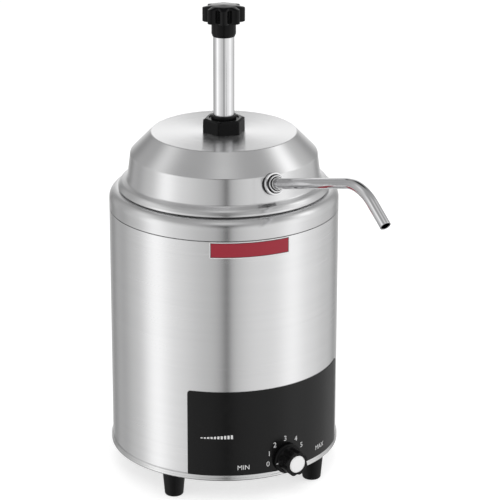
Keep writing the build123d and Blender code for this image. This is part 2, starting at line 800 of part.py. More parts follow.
def plunger_knob():
    """Lobed hand knob with a round neck and a low dome."""
    top = knob_high_z + knob_dome_height
    lobe_centre_r = knob_r - knob_lobe_r
    step = 360 / knob_lobes
    head = post(lobe_centre_r, knob_low_z, top)
    for index in range(knob_lobes):
        head += placed(index * step, lobe_centre_r, 0, post(knob_lobe_r, knob_low_z, top))
    valley = post(knob_valley_r, knob_low_z - cut_over, top + cut_over)
    for index in range(knob_lobes):
        head -= placed((index + 0.5) * step, knob_valley_floor_r + knob_valley_r, 0, valley)
    dome_r = (knob_r ** 2 + knob_dome_height ** 2) / (2 * knob_dome_height)
    head = head & Pos(0, 0, top - dome_r) * Sphere(dome_r)
    neck = post(knob_neck_r, knob_neck_z, knob_low_z)
    neck = chamfer(neck.edges().sort_by(Axis.Z)[0], knob_neck_edge)
    knob = Rot(0, 0, knob_azimuth) * head + neck
    knob -= post(tube_r + fixed_gap, knob_neck_z - cut_over, tube_top_z)
    return knob - post(stud_r + fixed_gap, knob_neck_z, stud_hole_top_z)


def knob_stud():
    """Steel plug in the tube's upper end with the stud that the knob screws onto."""
    plug = post(tube_r - tube_wall - fixed_gap, tube_top_z - plug_height, tube_top_z)
    return plug + post(stud_r, tube_top_z, stud_hole_top_z - stud_end_gap)


# ---------------------------------------------------------------- temperature control
def dial_solid(shape):
    """A shape made upright on the axis, laid out along the dial's own axis."""
    return along_radius(dial_azimuth, dial_z, shape)


def dial_knob():
    """Skirted knob with a fluted, slightly tapered grip, hollow at the back."""
    skirt_top = dial_back + dial_skirt_height
    skirt = post(dial_skirt_r, dial_back, skirt_top)
    skirt = chamfer(skirt.edges().sort_by(Axis.Z)[-1], dial_skirt_edge)
    grip = turned((0, skirt_top), (dial_grip_r, skirt_top), (dial_grip_tip_r, dial_tip - dial_grip_edge),
                  (dial_grip_tip_r - dial_grip_edge, dial_tip), (0, dial_tip))
    flute = post(dial_flute_r, skirt_top, dial_tip + cut_over)
    for index in range(dial_flutes):
        grip -= placed(index * 360 / dial_flutes, dial_flute_floor_r + dial_flute_r, 0, flute)
    body = skirt + grip
    body -= post(dial_hollow_r, dial_back - cut_over, dial_back + dial_hollow_depth)
    body -= post(shaft_r + fixed_gap, dial_back, dial_tip - dial_bore_roof)
    body -= post(dial_cap_r + fixed_gap, dial_tip - dial_cap_depth, dial_tip + cut_over)
    return dial_solid(body)


def dial_cap():
    """Bright disc let into the dial's end."""
    disc = post(dial_cap_r, dial_tip - dial_cap_depth + fixed_gap, dial_tip + dial_cap_proud)
    return dial_solid(chamfer(disc.edges().sort_by(Axis.Z)[-1], dial_cap_edge))


def thermostat_shaft():
    """Shaft with a flat, from the thermostat's bush into the dial."""
    tip = dial_tip - dial_bore_roof - shaft_end_gap
    shaft = post(shaft_r, thermostat_face - shaft_foot, tip)
    start = dial_back + shaft_flat_start
    end = tip + cut_over
    cutter = Box(4 * shaft_r, 2 * shaft_r, end - start)
    cutter = Pos(0, 2 * shaft_r - shaft_flat, (start + end) / 2) * cutter
    return dial_solid(shaft - cutter)


def thermostat():
    """Capillary thermostat: boxed switch, shoulder and threaded bush, two blade terminals."""
    back = thermostat_face - thermostat_depth
    box = Box(thermostat_width, thermostat_height, thermostat_depth)
    box = Pos(0, 0, (back + thermostat_face) / 2) * box
    box = fillet(box.edges().filter_by(Axis.Z), thermostat_edge)
    shoulder_end = sqrt(shell_inner_r ** 2 - thermostat_shoulder_r ** 2) - fixed_gap
    body = box + post(thermostat_shoulder_r, thermostat_face, shoulder_end)
    body += post(thermostat_bush_r, thermostat_face, bush_nut_end)
    for side in (-1, 1):
        blade = Box(blade_wall, blade_width, blade_length)
        body += Pos(side * blade_spacing, 0, back - blade_length / 2) * blade
    hole = post(shaft_r + running_gap, thermostat_face - shaft_foot - shaft_end_gap, bush_nut_end + cut_over)
    return dial_solid(body - hole)


def thermostat_nut():
    """Thin nut that holds the thermostat's bush to the body, under the dial."""
    return dial_solid(hex_nut(bush_nut_flats, thermostat_bush_r + fixed_gap, panel_r, bush_nut_end))


# ---------------------------------------------------------------- heater
def heater_leg_azimuths():
    """Azimuths of the two down-turned ends of the heater's ring."""
    end = heater_gap_angle - degrees(atan(heater_leg_bend_r / heater_ring_r))
    return (180 - end, 180 + end)


def heater_element():
    """Sheathed ring under the well, open at the back, its two ends bent down."""
    z = well_bottom_z - heater_tube_r - clamp_gap
    ring = CenterArc((0, 0, z), heater_ring_r, 90 + heater_gap_angle, 360 - 2 * heater_gap_angle)
    runs = [ring]
    for corner, outward in ((ring @ 0, ring % 0 * -1), (ring @ 1, ring % 1)):
        middle = corner + outward * (heater_leg_bend_r * sin(radians(45)))
        middle += Vector(0, 0, -heater_leg_bend_r * (1 - cos(radians(45))))
        turned_down = corner + outward * heater_leg_bend_r + Vector(0, 0, -heater_leg_bend_r)
        foot_point = Vector(turned_down.X, turned_down.Y, well_bottom_z - heater_leg_drop)
        runs += [ThreePointArc(corner, middle, turned_down), Line(turned_down, foot_point)]
    path = Wire([run.edge() for run in runs])
    plane = Plane(origin=path @ 0, z_dir=path % 0)
    return sweep(plane * Circle(heater_tube_r), path=path)


def heater_clamp():
    """Pressed disc that holds the ring up against the well."""
    leg_reach = sqrt(heater_ring_r ** 2 + heater_leg_bend_r ** 2)
    low, high = clamp_low_z - cut_over, clamp_top_z + cut_over
    plate = pipe(clamp_r, clamp_hole_r, clamp_low_z, clamp_top_z)
    for azimuth in heater_stud_azimuths:
        plate -= placed(azimuth, heater_stud_circle_r, 0, post(heater_stud_r + screw_clearance, low, high))
    for azimuth in heater_leg_azimuths():
        plate -= placed(azimuth, leg_reach, 0, post(heater_tube_r + heater_leg_room, low, high))
    return plate - Pos(capillary_x, -bulb_offset, 0) * post(capillary_hole_r, low, high)


def heater_stud():
    """Stud welded under the well for the heater's clamp."""
    return post(heater_stud_r, well_bottom_z - heater_stud_drop, well_bottom_z)


def heater_nut():
    """Nut on a heater stud."""
    return hex_nut(stud_nut_flats, heater_stud_r + fixed_gap, clamp_low_z - stud_nut_height, clamp_low_z)


def tie_stud():
    """Long stud welded under the well, which pulls the floor pan up to the body."""
    return post(tie_stud_r, foot_height - stud_nut_height - tie_overrun, well_bottom_z)


def tie_nut():
    """Nut on a tie stud, under the pan."""
    return hex_nut(stud_nut_flats, tie_stud_r + fixed_gap, foot_height - stud_nut_height, foot_height)


def sensor_bulb():
    """Thermostat's sensing bulb under the well with its capillary down to the switch."""
    z = well_bottom_z - bulb_r - clamp_gap
    bulb = Pos((bulb_start + bulb_stop) / 2, -bulb_offset, z) * Rot(0, 90, 0) * Cylinder(
        bulb_r, bulb_stop - bulb_start)
    back = -(thermostat_face - thermostat_depth)
    entry_z = dial_z + capillary_entry_rise
    path = FilletPolyline((bulb_start, -bulb_offset, z), (capillary_x, -bulb_offset, z),
                          (capillary_x, -bulb_offset, dial_z + capillary_rise),
                          (-capillary_entry_offset, back + 2 * capillary_bend_r, entry_z),
                          (-capillary_entry_offset, back + insulation_gap, entry_z),
                          radius=capillary_bend_r)
    plane = Plane(origin=path @ 0, z_dir=path % 0)
    return bulb + sweep(plane * Circle(capillary_r), path=path)


def thermal_cutout():
    """Small round safety thermostat under the clamp, with its two blade terminals."""
    low = clamp_low_z - cutout_height
    body = post(cutout_r, low, clamp_low_z)
    body = fillet(body.edges().sort_by(Axis.Z)[0], cutout_edge)
    for side in (-1, 1):
        blade = Box(blade_wall, cutout_blade_width, cutout_blade_length)
        body += Pos(side * cutout_r / 2, 0, low - cutout_blade_length / 2) * blade
    return placed(cutout_azimuth, cutout_reach, 0, body)


# ---------------------------------------------------------------- mains entry
def gland_solid(shape):
    """A shape made upright on the axis, laid out along the cord gland's axis."""
    return along_radius(gland_azimuth, gland_z, shape)


def cord_gland():
    """Gland body: hexagonal flange outside, thread through the shell, bore for the cord."""
    inner_end = body_r - gland_inner_length
    outer_end = gland_flange_top + gland_outer_length
    body = hexagon(gland_flange_flats, gland_flange_z, gland_flange_top)
    body += post(gland_thread_r, inner_end, outer_end)
    return gland_solid(body - post(gland_bore_r, inner_end - cut_over, outer_end + cut_over))


def gland_cap():
    """Domed clamping nut of the gland."""
    high = gland_flange_top + gland_cap_length
    cap = post(gland_cap_r, gland_flange_top, high)
    cap = fillet(cap.edges().sort_by(Axis.Z)[-1], gland_cap_dome_r)
    cap -= post(gland_thread_r + fixed_gap, gland_flange_top - cut_over,
                gland_flange_top + gland_outer_length + gland_end_gap)
    return gland_solid(cap - post(gland_cap_mouth_r, gland_flange_top, high + cut_over))


def gland_seal():
    """Rubber sleeve in the gland that closes on the cord."""
    high = gland_flange_top + gland_outer_length
    return gland_solid(pipe(gland_bore_r - fixed_gap, gland_seal_bore_r, high - gland_seal_length, high))


def gland_nut():
    """Lock nut of the gland inside the shell."""
    high = sqrt(shell_inner_r ** 2 - (gland_flange_flats / sqrt(3)) ** 2) - fixed_gap
    low = high - gland_nut_height
    return gland_solid(hex_nut(gland_flange_flats, gland_thread_r + fixed_gap, low, high))


def terminal_block():
    """Ceramic block on the pan where the mains leads are joined."""
    top = pan_floor_z + block_height
    block = Pos(block_x, block_y, (pan_floor_z + top) / 2) * Box(block_width, block_depth, block_height)
    block = fillet(block.edges().filter_by(Axis.Z), block_edge)
    for index in (-1, 0, 1):
        well = post(block_well_r, top - block_well_depth, top + cut_over)
        block -= Pos(block_x + index * block_well_pitch, block_y, 0) * well
    return block


def earth_screw():
    """Screw through the pan for the earth lead, its head inside."""
    top = pan_floor_z + earth_head_height
    slot = Pos(0, 0, top) * Box(2 * earth_head_r + cut_over, screw_slot_width, 2 * screw_slot_depth)
    head = post(earth_head_r, pan_floor_z, top) - slot
    shank = post(foot_screw_r, pan_floor_z - earth_screw_length, pan_floor_z)
    return Pos(earth_x, earth_y, 0) * (head + shank)


# ---------------------------------------------------------------- all nodes
nodes = {
    "base_pan": base_pan(),
    "foot_screws": around(foot_azimuths.values(), foot_circle_r, foot_screw()),
    "foot_nuts": around(foot_azimuths.values(), foot_circle_r, foot_nut()),
    "outer_shell": outer_shell(),
    "top_ring": top_ring(),
    "water_well": water_well(),
    "well_insulation": well_insulation(),
    "control_panel": control_panel(),
    "jar": jar(),
    "lid": lid(),
    "pump_head": pump_head(),
    "locking_nut": locking_nut(),
    "guide_bush": guide_bush(),
    "pump_cylinder": pump_cylinder(),
    "spring_guide": spring_guide(),
    "valve_body": valve_body(),
    "ball_stop": ball_stop(),
    "intake_ball": Pos(0, 0, intake_ball_z()) * Sphere(intake_ball_r),
    "discharge_ball": placed(0, riser_reach, discharge_ball_z(), Sphere(discharge_ball_r)),
    "riser_tube": riser_tube(),
    "spout_tube": spout_tube(),
    "spout_bushing": spout_bushing(),
    "spout_collar_nut": spout_collar_nut(),
    "spout_saddle": spout_saddle(),
    "backing_washer": backing_washer(),
    "backing_nut": backing_nut(),
    "plunger_tube": plunger_tube(),
    "tube_plug": tube_plug(),
    "piston_rod": piston_rod(),
    "piston": piston(),
    "piston_seal": piston_seal(),
    "piston_nut": piston_nut(),
    "return_spring": return_spring(),
    "plunger_knob": plunger_knob(),
    "knob_stud": knob_stud(),
    "dial_knob": dial_knob(),
    "dial_cap": dial_cap(),
    "thermostat_shaft": thermostat_shaft(),
    "thermostat": thermostat(),
    "thermostat_nut": thermostat_nut(),
    "heater_element": heater_element(),
    "heater_clamp": heater_clamp(),
    "heater_studs": around(heater_stud_azimuths, heater_stud_circle_r, heater_stud()),
    "heater_nuts": around(heater_stud_azimuths, heater_stud_circle_r, heater_nut()),
    "tie_studs": around(tie_azimuths, tie_circle_r, tie_stud()),
    "tie_nuts": around(tie_azimuths, tie_circle_r, tie_nut()),
    "sensor_bulb": sensor_bulb(),
    "thermal_cutout": thermal_cutout(),
    "cord_gland": cord_gland(),
    "gland_cap": gland_cap(),
    "gland_seal": gland_seal(),
    "gland_nut": gland_nut(),
    "terminal_block": terminal_block(),
    "earth_screw": earth_screw(),
}
for name, azimuth in foot_azimuths.items():
    nodes[name] = foot(azimuth)

os.makedirs("parts", exist_ok=True)
for name, shape in nodes.items():
    export_step(shape, f"parts/{name}.step")
print(len(nodes), "nodes")
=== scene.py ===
"""Looks of a countertop topping warmer: steel body and lid, plunger pump, spout, dial and panel.

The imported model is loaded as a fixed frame. Each sub-assembly is a class that builds its surfaces
with numpy, in metres and in that frame, and dresses them. The front, with the dial and the spout,
is -Y. An azimuth is measured from the front towards +X.
"""

import logging
import math
from collections.abc import Callable, Sequence
from dataclasses import dataclass, field
from enum import Enum

import bpy
import numpy as np
from mathutils import Matrix, Vector


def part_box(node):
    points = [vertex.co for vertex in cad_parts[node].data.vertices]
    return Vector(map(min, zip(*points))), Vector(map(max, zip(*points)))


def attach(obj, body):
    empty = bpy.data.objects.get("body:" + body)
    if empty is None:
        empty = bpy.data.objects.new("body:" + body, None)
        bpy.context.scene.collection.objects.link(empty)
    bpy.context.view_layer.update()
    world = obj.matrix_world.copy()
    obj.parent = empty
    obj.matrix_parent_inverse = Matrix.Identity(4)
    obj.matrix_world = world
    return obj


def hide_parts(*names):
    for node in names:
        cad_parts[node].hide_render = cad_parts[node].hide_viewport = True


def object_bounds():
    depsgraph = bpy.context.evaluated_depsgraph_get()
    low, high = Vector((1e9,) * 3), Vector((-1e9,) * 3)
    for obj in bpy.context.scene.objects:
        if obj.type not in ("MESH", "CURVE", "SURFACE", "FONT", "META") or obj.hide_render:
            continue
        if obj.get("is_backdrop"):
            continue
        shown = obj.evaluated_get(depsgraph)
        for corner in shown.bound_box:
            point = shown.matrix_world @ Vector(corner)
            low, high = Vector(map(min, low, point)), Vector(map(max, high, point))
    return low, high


LOG = logging.getLogger("warmer")
MM = 0.001
SAME_POINT = 1e-7  # metres, under which two points count as one
LONGEST_REACH = 0.49  # most of a run that a rounded corner may take
STRAIGHT = 1e-4  # radians, under which a bend counts as straight
CAPITAL_SHARE = 0.73  # height of a capital in a font of size 1
Points = Sequence[tuple[float, float]]
Color = tuple[float, float, float]
Faces = list[list[int]]
Shape = Callable[[np.ndarray, np.ndarray, np.ndarray], np.ndarray]


class Body(str, Enum):
    """Bodies of the frame that the pieces ride on."""

    ROOT = "root"
    DIAL = "dial"
    JAR = "jar"
    LID = "lid"
    PLUNGER = "plunger"


class Slot(str, Enum):
    """Material slots of the record."""

    BRUSHED = "brushed_steel"
    SPUN = "drawn_steel"
    POLISHED = "polished_steel"
    PLASTIC = "black_plastic"
    GLOSSY = "gloss_black_plastic"
    FEET = "black_rubber"
    SEAL = "seal_rubber"
    FILM = "panel_film"


# ------------------------------------------------------------------------------ node graphs


class Graph:
    """A thin writer of shader nodes into one node tree."""

    def __init__(self, tree: bpy.types.NodeTree) -> None:
        """Clears the tree and keeps it."""
        self.tree = tree
        tree.nodes.clear()

    def node(self, kind: str, **settings: object) -> bpy.types.Node:
        """Adds a node.

        Args:
            kind: The node's type, such as ShaderNodeTexNoise.
            settings: Attributes to set on it.

        Returns:
            The new node.
        """
        made = self.tree.nodes.new(kind)
        for name, value in settings.items():
            setattr(made, name, value)
        return made

    def feed(self, socket: bpy.types.NodeSocket, value: object) -> None:
        """Links an output to the socket, or writes a plain value into it."""
        if isinstance(value, bpy.types.NodeSocket):
            self.tree.links.new(value, socket)
        else:
            socket.default_value = value

    def math(self, operation: str, a: object, b: object = 0.0) -> bpy.types.NodeSocket:
        """Adds a Math node on two values or sockets and returns its output."""
        made = self.node("ShaderNodeMath", operation=operation)
        self.feed(made.inputs[0], a)
        self.feed(made.inputs[1], b)
        return made.outputs[0]

    def weighted(self, *parts: tuple[object, float]) -> bpy.types.NodeSocket:
        """Adds up sockets, each times its own weight, and returns the sum."""
        first, *others = (self.math("MULTIPLY", part, weight) for part, weight in parts)
        for other in others:
            first = self.math("ADD", first, other)
        return first

    def remap(self, value: object, low: float, high: float, start: float = 0.3,
              stop: float = 0.7) -> bpy.types.NodeSocket:
        """Maps the range start..stop of a value onto low..high, clamped.

        Args:
            value: The socket to map.
            low: Result at the start.
            high: Result at the stop.
            start: Value that gives low.
            stop: Value that gives high.

        Returns:
            The mapped value's socket.
        """
        made = self.node("ShaderNodeMapRange")
        ends = {"From Min": start, "From Max": stop, "To Min": low, "To Max": high}
        for name, number in ends.items():
            made.inputs[name].default_value = number
        self.feed(made.inputs["Value"], value)
        return made.outputs["Result"]

    def noise(self, place: bpy.types.NodeSocket, scale: float, detail: float = 3.0,
              roughness: float = 0.5) -> bpy.types.NodeSocket:
        """Adds a noise texture at a place and returns its factor."""
        made = self.node("ShaderNodeTexNoise")
        self.feed(made.inputs["Vector"], place)
        made.inputs["Scale"].default_value = scale
        made.inputs["Detail"].default_value = detail
        made.inputs["Roughness"].default_value = roughness
        return made.outputs["Fac"]

    def bump(self, height: object, strength: float, distance: float) -> bpy.types.NodeSocket:
        """Turns a height into a bent normal."""
        made = self.node("ShaderNodeBump")
        made.inputs["Strength"].default_value = strength
        made.inputs["Distance"].default_value = distance
        self.feed(made.inputs["Height"], height)
        return made.outputs["Normal"]

    def mixed(self, factor: bpy.types.NodeSocket, first: bpy.types.Node,
              second: bpy.types.Node) -> bpy.types.Node:
        """Mixes two shaders, the first where the factor is 0, and returns the mixing node."""
        made = self.node("ShaderNodeMixShader")
        for socket, value in zip(made.inputs, (factor, first.outputs[0], second.outputs[0])):
            self.feed(socket, value)
        return made

    def blend(self, factor: object, first: Color, second: Color) -> bpy.types.NodeSocket:
        """Mixes two colours by a factor and returns the colour's socket."""
        made = self.node("ShaderNodeMix", data_type="RGBA")
        self.feed(made.inputs["Factor"], factor)
        made.inputs["A"].default_value = (*first, 1.0)
        made.inputs["B"].default_value = (*second, 1.0)
        return made.outputs["Result"]


# ------------------------------------------------------------------------------ finishes


def tinted(color: Color, factor: float) -> Color:
    """A colour times a factor, with no channel above 1."""
    return tuple(min(1.0, channel * factor) for channel in color)


@dataclass(frozen=True)
class Finish:
    """A surface finish that turns itself into a node material."""

    name: str

    def material(self) -> bpy.types.Material:
        """Returns the finish's material, made once."""
        known = bpy.data.materials.get(self.name)
        if known is not None:
            return known
        made = bpy.data.materials.new(self.name)
        made.use_nodes = True
        graph = Graph(made.node_tree)
        shader = graph.node("ShaderNodeBsdfPrincipled")
        place = graph.node("ShaderNodeTexCoord").outputs["Object"]
        self.shade(graph, shader.inputs, place)
        out = graph.node("ShaderNodeOutputMaterial")
        graph.feed(out.inputs["Surface"], shader.outputs["BSDF"])
        return made

    def shade(self, graph: Graph, shader: bpy.types.NodeInputs,
              place: bpy.types.NodeSocket) -> None:
        """Writes the finish into the shader's inputs.

        Args:
            graph: The material's graph.
            shader: Inputs of the principled shader.
            place: Object coordinates.
        """
        raise NotImplementedError


@dataclass(frozen=True)
class SpunSteel(Finish):
    """Steel with fine lines that run round the body's axis, as spinning and brushing leave them.

    Attributes:
        color: Reflectance of the bare steel.
        roughness: Middle roughness.
        spread: How far the lines move the roughness either way.
        line_count: Lines for each metre across them.
        line_break: How often a line changes for each metre along it.
        depth: Strength of the lines' relief.
        anisotropy: How much more the steel blurs across its lines than along them.
        band_width: Width of the broad bands, in lines.
        cloud_scale: Scale of the soft clouds that make the gloss uneven.
        dark: Share of the colour that the darkest lines keep.
    """

    color: Color = (0.78, 0.78, 0.785)
    roughness: float = 0.27
    spread: float = 0.05
    line_count: float = 1500.0
    line_break: float = 8.0
    depth: float = 0.05
    anisotropy: float = 0.5
    band_width: float = 9.0
    cloud_scale: float = 14.0
    dark: float = 0.95

    def shade(self, graph: Graph, shader: bpy.types.NodeInputs,
              place: bpy.types.NodeSocket) -> None:
        """Fine lines and broader bands of them move the gloss, the colour and the relief."""
        lines = self.rings(graph, place, self.line_count, self.line_break)
        bands = self.rings(graph, place, self.line_count / self.band_width, self.line_break / 2.0)
        cloud = graph.noise(place, self.cloud_scale, 3.0)
        uneven = graph.weighted((lines, 0.5), (bands, 0.25), (cloud, 0.25))
        low, high = self.roughness - self.spread, self.roughness + self.spread
        graph.feed(shader["Roughness"], graph.remap(uneven, low, high, 0.35, 0.65))
        mixed = graph.remap(graph.weighted((lines, 0.5), (bands, 0.5)), 0.0, 1.0)
        graph.feed(shader["Base Color"],
                   graph.blend(mixed, tinted(self.color, self.dark), self.color))
        graph.feed(shader["Normal"], graph.bump(lines, self.depth, 0.02 * MM))
        shader["Metallic"].default_value = 1.0
        shader["Anisotropic"].default_value = self.anisotropy
        shader["Anisotropic Rotation"].default_value = 0.25
        tangent = graph.node("ShaderNodeTangent", direction_type="RADIAL", axis="Z")
        graph.feed(shader["Tangent"], tangent.outputs[0])

    @staticmethod
    def rings(graph: Graph, place: bpy.types.NodeSocket, count: float,
              along: float) -> bpy.types.NodeSocket:
        """Noise drawn out along circles round the axis.

        It is noise at (x * along, y * along, (radius + z) * count), so it changes slowly round a
        circle and fast across it, on upright and on flat faces alike.

        Args:
            graph: The material's graph.
            place: Object coordinates.
            count: Changes for each metre across the lines.
            along: Changes for each metre along them.

        Returns:
            The noise's factor.
        """
        split = graph.node("ShaderNodeSeparateXYZ")
        graph.feed(split.inputs[0], place)
        x, y, z = split.outputs
        squares = [graph.math("MULTIPLY", side, side) for side in (x, y)]
        radius = graph.math("SQRT", graph.math("ADD", *squares))
        join = graph.node("ShaderNodeCombineXYZ")
        parts = ((x, along), (y, along), (graph.math("ADD", radius, z), count))
        for socket, (part, scale) in zip(join.inputs, parts):
            graph.feed(socket, graph.math("MULTIPLY", part, scale))
        return graph.noise(join.outputs[0], 1.0, 2.0)


@dataclass(frozen=True)
class PolishedSteel(Finish):
    """Mirror-polished steel with faint buffing haze and fingermarks.

    Attributes:
        color: Reflectance of the bare steel.
        roughness: Roughness where it is clean.
        haze: How much the haze adds to that.
        dark: Share of the colour that is left under the haze.
    """

    color: Color = (0.80, 0.80, 0.81)
    roughness: float = 0.07
    haze: float = 0.06
    dark: float = 0.95

    def shade(self, graph: Graph, shader: bpy.types.NodeInputs,
              place: bpy.types.NodeSocket) -> None:
        """Haze: broad noise raises the roughness in patches; fine noise ripples the surface."""
        patches = graph.noise(place, 45.0, 4.0, 0.6)
        hazy = graph.remap(patches, self.roughness, self.roughness + self.haze)
        graph.feed(shader["Roughness"], hazy)
        factor = graph.remap(patches, 0.0, 1.0)
        graph.feed(shader["Base Color"],
                   graph.blend(factor, self.color, tinted(self.color, self.dark)))
        ripple = graph.noise(place, 900.0, 2.0)
        graph.feed(shader["Normal"], graph.bump(ripple, 0.03, 0.01 * MM))
        shader["Metallic"].default_value = 1.0


@dataclass(frozen=True)
class Moulding(Finish):
    """Moulded plastic or rubber with a fine grain and slightly uneven gloss.

    Attributes:
        color: Colour of the material.
        roughness: Middle roughness.
        grain: Scale of the grain.
        depth: Strength of the grain's relief.
        gloss: Level of the mirror reflection.
        fleck: How much lighter the palest spots are.
        patch: Size of the uneven gloss's patches, in grains.
    """

    color: Color = (0.022, 0.022, 0.023)
    roughness: float = 0.3
    grain: float = 700.0
    depth: float = 0.15
    gloss: float = 0.5
    fleck: float = 1.5
    patch: float = 12.0

    def shade(self, graph: Graph, shader: bpy.types.NodeInputs,
              place: bpy.types.NodeSocket) -> None:
        """Grain: fine noise as bump; a broader one moves the roughness and the colour a little."""
        grain = graph.noise(place, self.grain, 3.0)
        broad = graph.noise(place, self.grain / self.patch, 3.0)
        uneven = graph.remap(broad, self.roughness * 0.85, self.roughness * 1.2)
        graph.feed(shader["Roughness"], uneven)
        factor = graph.remap(broad, 0.0, 1.0)
        graph.feed(shader["Base Color"],
                   graph.blend(factor, self.color, tinted(self.color, self.fleck)))
        graph.feed(shader["Normal"], graph.bump(grain, self.depth, 0.03 * MM))
        shader["Specular IOR Level"].default_value = self.gloss


@dataclass(frozen=True)
class Ink(Finish):
    """Screen-printed ink or a coloured film: even, with a faint mottle.

    Attributes:
        color: Colour of the ink.
        roughness: Roughness where it is smoothest.
        dark: Share of the colour that the darkest spots keep.
    """

    color: Color = (0.75, 0.75, 0.75)
    roughness: float = 0.4
    dark: float = 0.9

    def shade(self, graph: Graph, shader: bpy.types.NodeInputs,
              place: bpy.types.NodeSocket) -> None:
        """Mottle: noise of about a third of a millimetre moves colour and gloss a little."""
        mottle = graph.noise(place, 3000.0, 2.0)
        factor = graph.remap(mottle, 0.0, 1.0)
        graph.feed(shader["Base Color"],
                   graph.blend(factor, tinted(self.color, self.dark), self.color))
        graph.feed(shader["Roughness"], graph.remap(mottle, self.roughness, self.roughness + 0.08))
        graph.feed(shader["Normal"], graph.bump(mottle, 0.1, 0.01 * MM))


@dataclass(frozen=True)
class Felt(Finish):
    """Fibrous insulation with tangled strands and a soft sheen.

    Attributes:
        color: Colour of the strands.
        pale: How much paler the palest strands are.
    """

    color: Color = (0.80, 0.74, 0.48)
    pale: float = 1.2

    def shade(self, graph: Graph, shader: bpy.types.NodeInputs,
              place: bpy.types.NodeSocket) -> None:
        """Strands: strongly detailed noise as bump and as a change of colour."""
        strands = graph.noise(place, 350.0, 9.0, 0.75)
        factor = graph.remap(strands, 0.0, 1.0)
        graph.feed(shader["Base Color"],
                   graph.blend(factor, self.color, tinted(self.color, self.pale)))
        graph.feed(shader["Normal"], graph.bump(strands, 0.8, 0.6 * MM))
        shader["Roughness"].default_value = 0.95
        shader["Sheen Weight"].default_value = 0.3


SHELL_STEEL = SpunSteel("steel_shell_brushed", (0.89, 0.89, 0.895), 0.25, 0.025, 2200.0, 9.0, 0.02,
                        0.85)
SPUN = SpunSteel("steel_spun", (0.82, 0.82, 0.825), 0.24, 0.03, 1800.0, 7.0, 0.04, 0.92)
BAND_STEEL = SpunSteel("steel_band_rolled", (0.84, 0.84, 0.84), 0.22, 0.05, 1800.0, 10.0, 0.05, 0.5)
WELL_STEEL = SpunSteel("steel_drawn_inside", (0.70, 0.70, 0.70), 0.3, 0.06, 900.0, 8.0, 0.06, 0.4)
POLISHED = PolishedSteel("steel_polished", (0.92, 0.92, 0.93), 0.03, 0.03)
SPOUT_STEEL = PolishedSteel("steel_spout_polished", (0.75, 0.75, 0.76), 0.05, 0.04)
HARDWARE = PolishedSteel("steel_hardware", (0.70, 0.70, 0.70), 0.2, 0.12)
CAP_DISC = SpunSteel("cap_disc_turned", (0.96, 0.96, 0.96), 0.35, 0.05, 900.0, 40.0, 0.05, 0.2)
CAP_RIM = Ink("cap_rim_white", (0.88, 0.88, 0.88), 0.35)
GLOSSY = Moulding("plastic_black_glossy", (0.003, 0.003, 0.0032), 0.09, 420.0, 0.04, 0.16)
PLASTIC = Moulding("plastic_black_grained", (0.004, 0.004, 0.0042), 0.30, 900.0, 0.2, 0.16)
FOOT_RUBBER = Moulding("rubber_black_foot", (0.004, 0.004, 0.0042), 0.38, 700.0, 0.3, 0.16)
SEAL_RUBBER = Moulding("rubber_black_seal", (0.005, 0.005, 0.005), 0.5, 1200.0, 0.2, 0.2)
FILM = Moulding("film_black_satin", (0.005, 0.005, 0.0051), 0.22, 1600.0, 0.06, 0.26, 1.15)
WHITE_INK = Ink("ink_white", (0.78, 0.78, 0.78))
RED_FILM = Ink("film_red", (0.35, 0.014, 0.032), 0.42)
PALE_FILM = Ink("film_pale_border", (0.82, 0.80, 0.80), 0.4)
DARK_INK = Ink("ink_dark", (0.05, 0.012, 0.015), 0.4)
CERAMIC = Moulding("ceramic_unglazed", (0.74, 0.72, 0.67), 0.6, 500.0, 0.2, 0.4, 1.08)
WOOL = Felt("glass_wool_felt")


# ------------------------------------------------------------------------------ surfaces


def rounded(points: Points, radii: Sequence[float] | float, steps: int) -> np.ndarray:
    """Rounds the corners of an outline.

    Each inner corner becomes an arc tangent to both of its runs. The arc's centre lies on the
    corner's bisector, at radius / sin(half the angle between the runs). An arc takes up less than
    half of each run, and its radius is cut where a run is too short for that.

    Args:
        points: Corners as (radius, height) in metres.
        radii: One radius for each inner corner, or one for all.
        steps: Points on each arc.

    Returns:
        The outline as an array of points.
    """
    corners = np.asarray(points, float)
    count = len(corners) - 2
    sizes = [radii] * count if isinstance(radii, (int, float)) else list(radii)
    line = [corners[:1]]
    for here, size in zip(range(1, len(corners) - 1), sizes):
        before, corner, after = corners[here - 1], corners[here], corners[here + 1]
        back, ahead = before - corner, after - corner
        back_run, ahead_run = np.linalg.norm(back), np.linalg.norm(ahead)
        back, ahead = back / back_run, ahead / ahead_run
        half = math.acos(float(np.clip(back @ ahead, -1.0, 1.0))) / 2
        reach = min(size / math.tan(half), LONGEST_REACH * back_run, LONGEST_REACH * ahead_run)
        size = reach * math.tan(half)
        if size < SAME_POINT or half > math.pi / 2 - STRAIGHT:
            line.append(corner[None])
            continue
        centre = corner + (back + ahead) / np.linalg.norm(back + ahead) * size / math.sin(half)
        first, last = corner + back * reach - centre, corner + ahead * reach - centre
        share = np.linspace(0.0, 1.0, steps)[:, None]
        turn = math.pi - 2 * half
        arc = (np.sin((1 - share) * turn) * first + np.sin(share * turn) * last) / math.sin(turn)
        line.append(centre + arc)
    line.append(corners[-1:])
    return np.vstack(line)


def filled(line: np.ndarray, longest: float) -> np.ndarray:
    """Adds points along an outline's runs, none longer than the given length."""
    parts = []
    for start, stop in zip(line[:-1], line[1:]):
        count = max(1, math.ceil(float(np.linalg.norm(stop - start)) / longest))
        parts.append(start + (stop - start) * (np.arange(count) / count)[:, None])
    return np.vstack(parts + [line[-1:]])


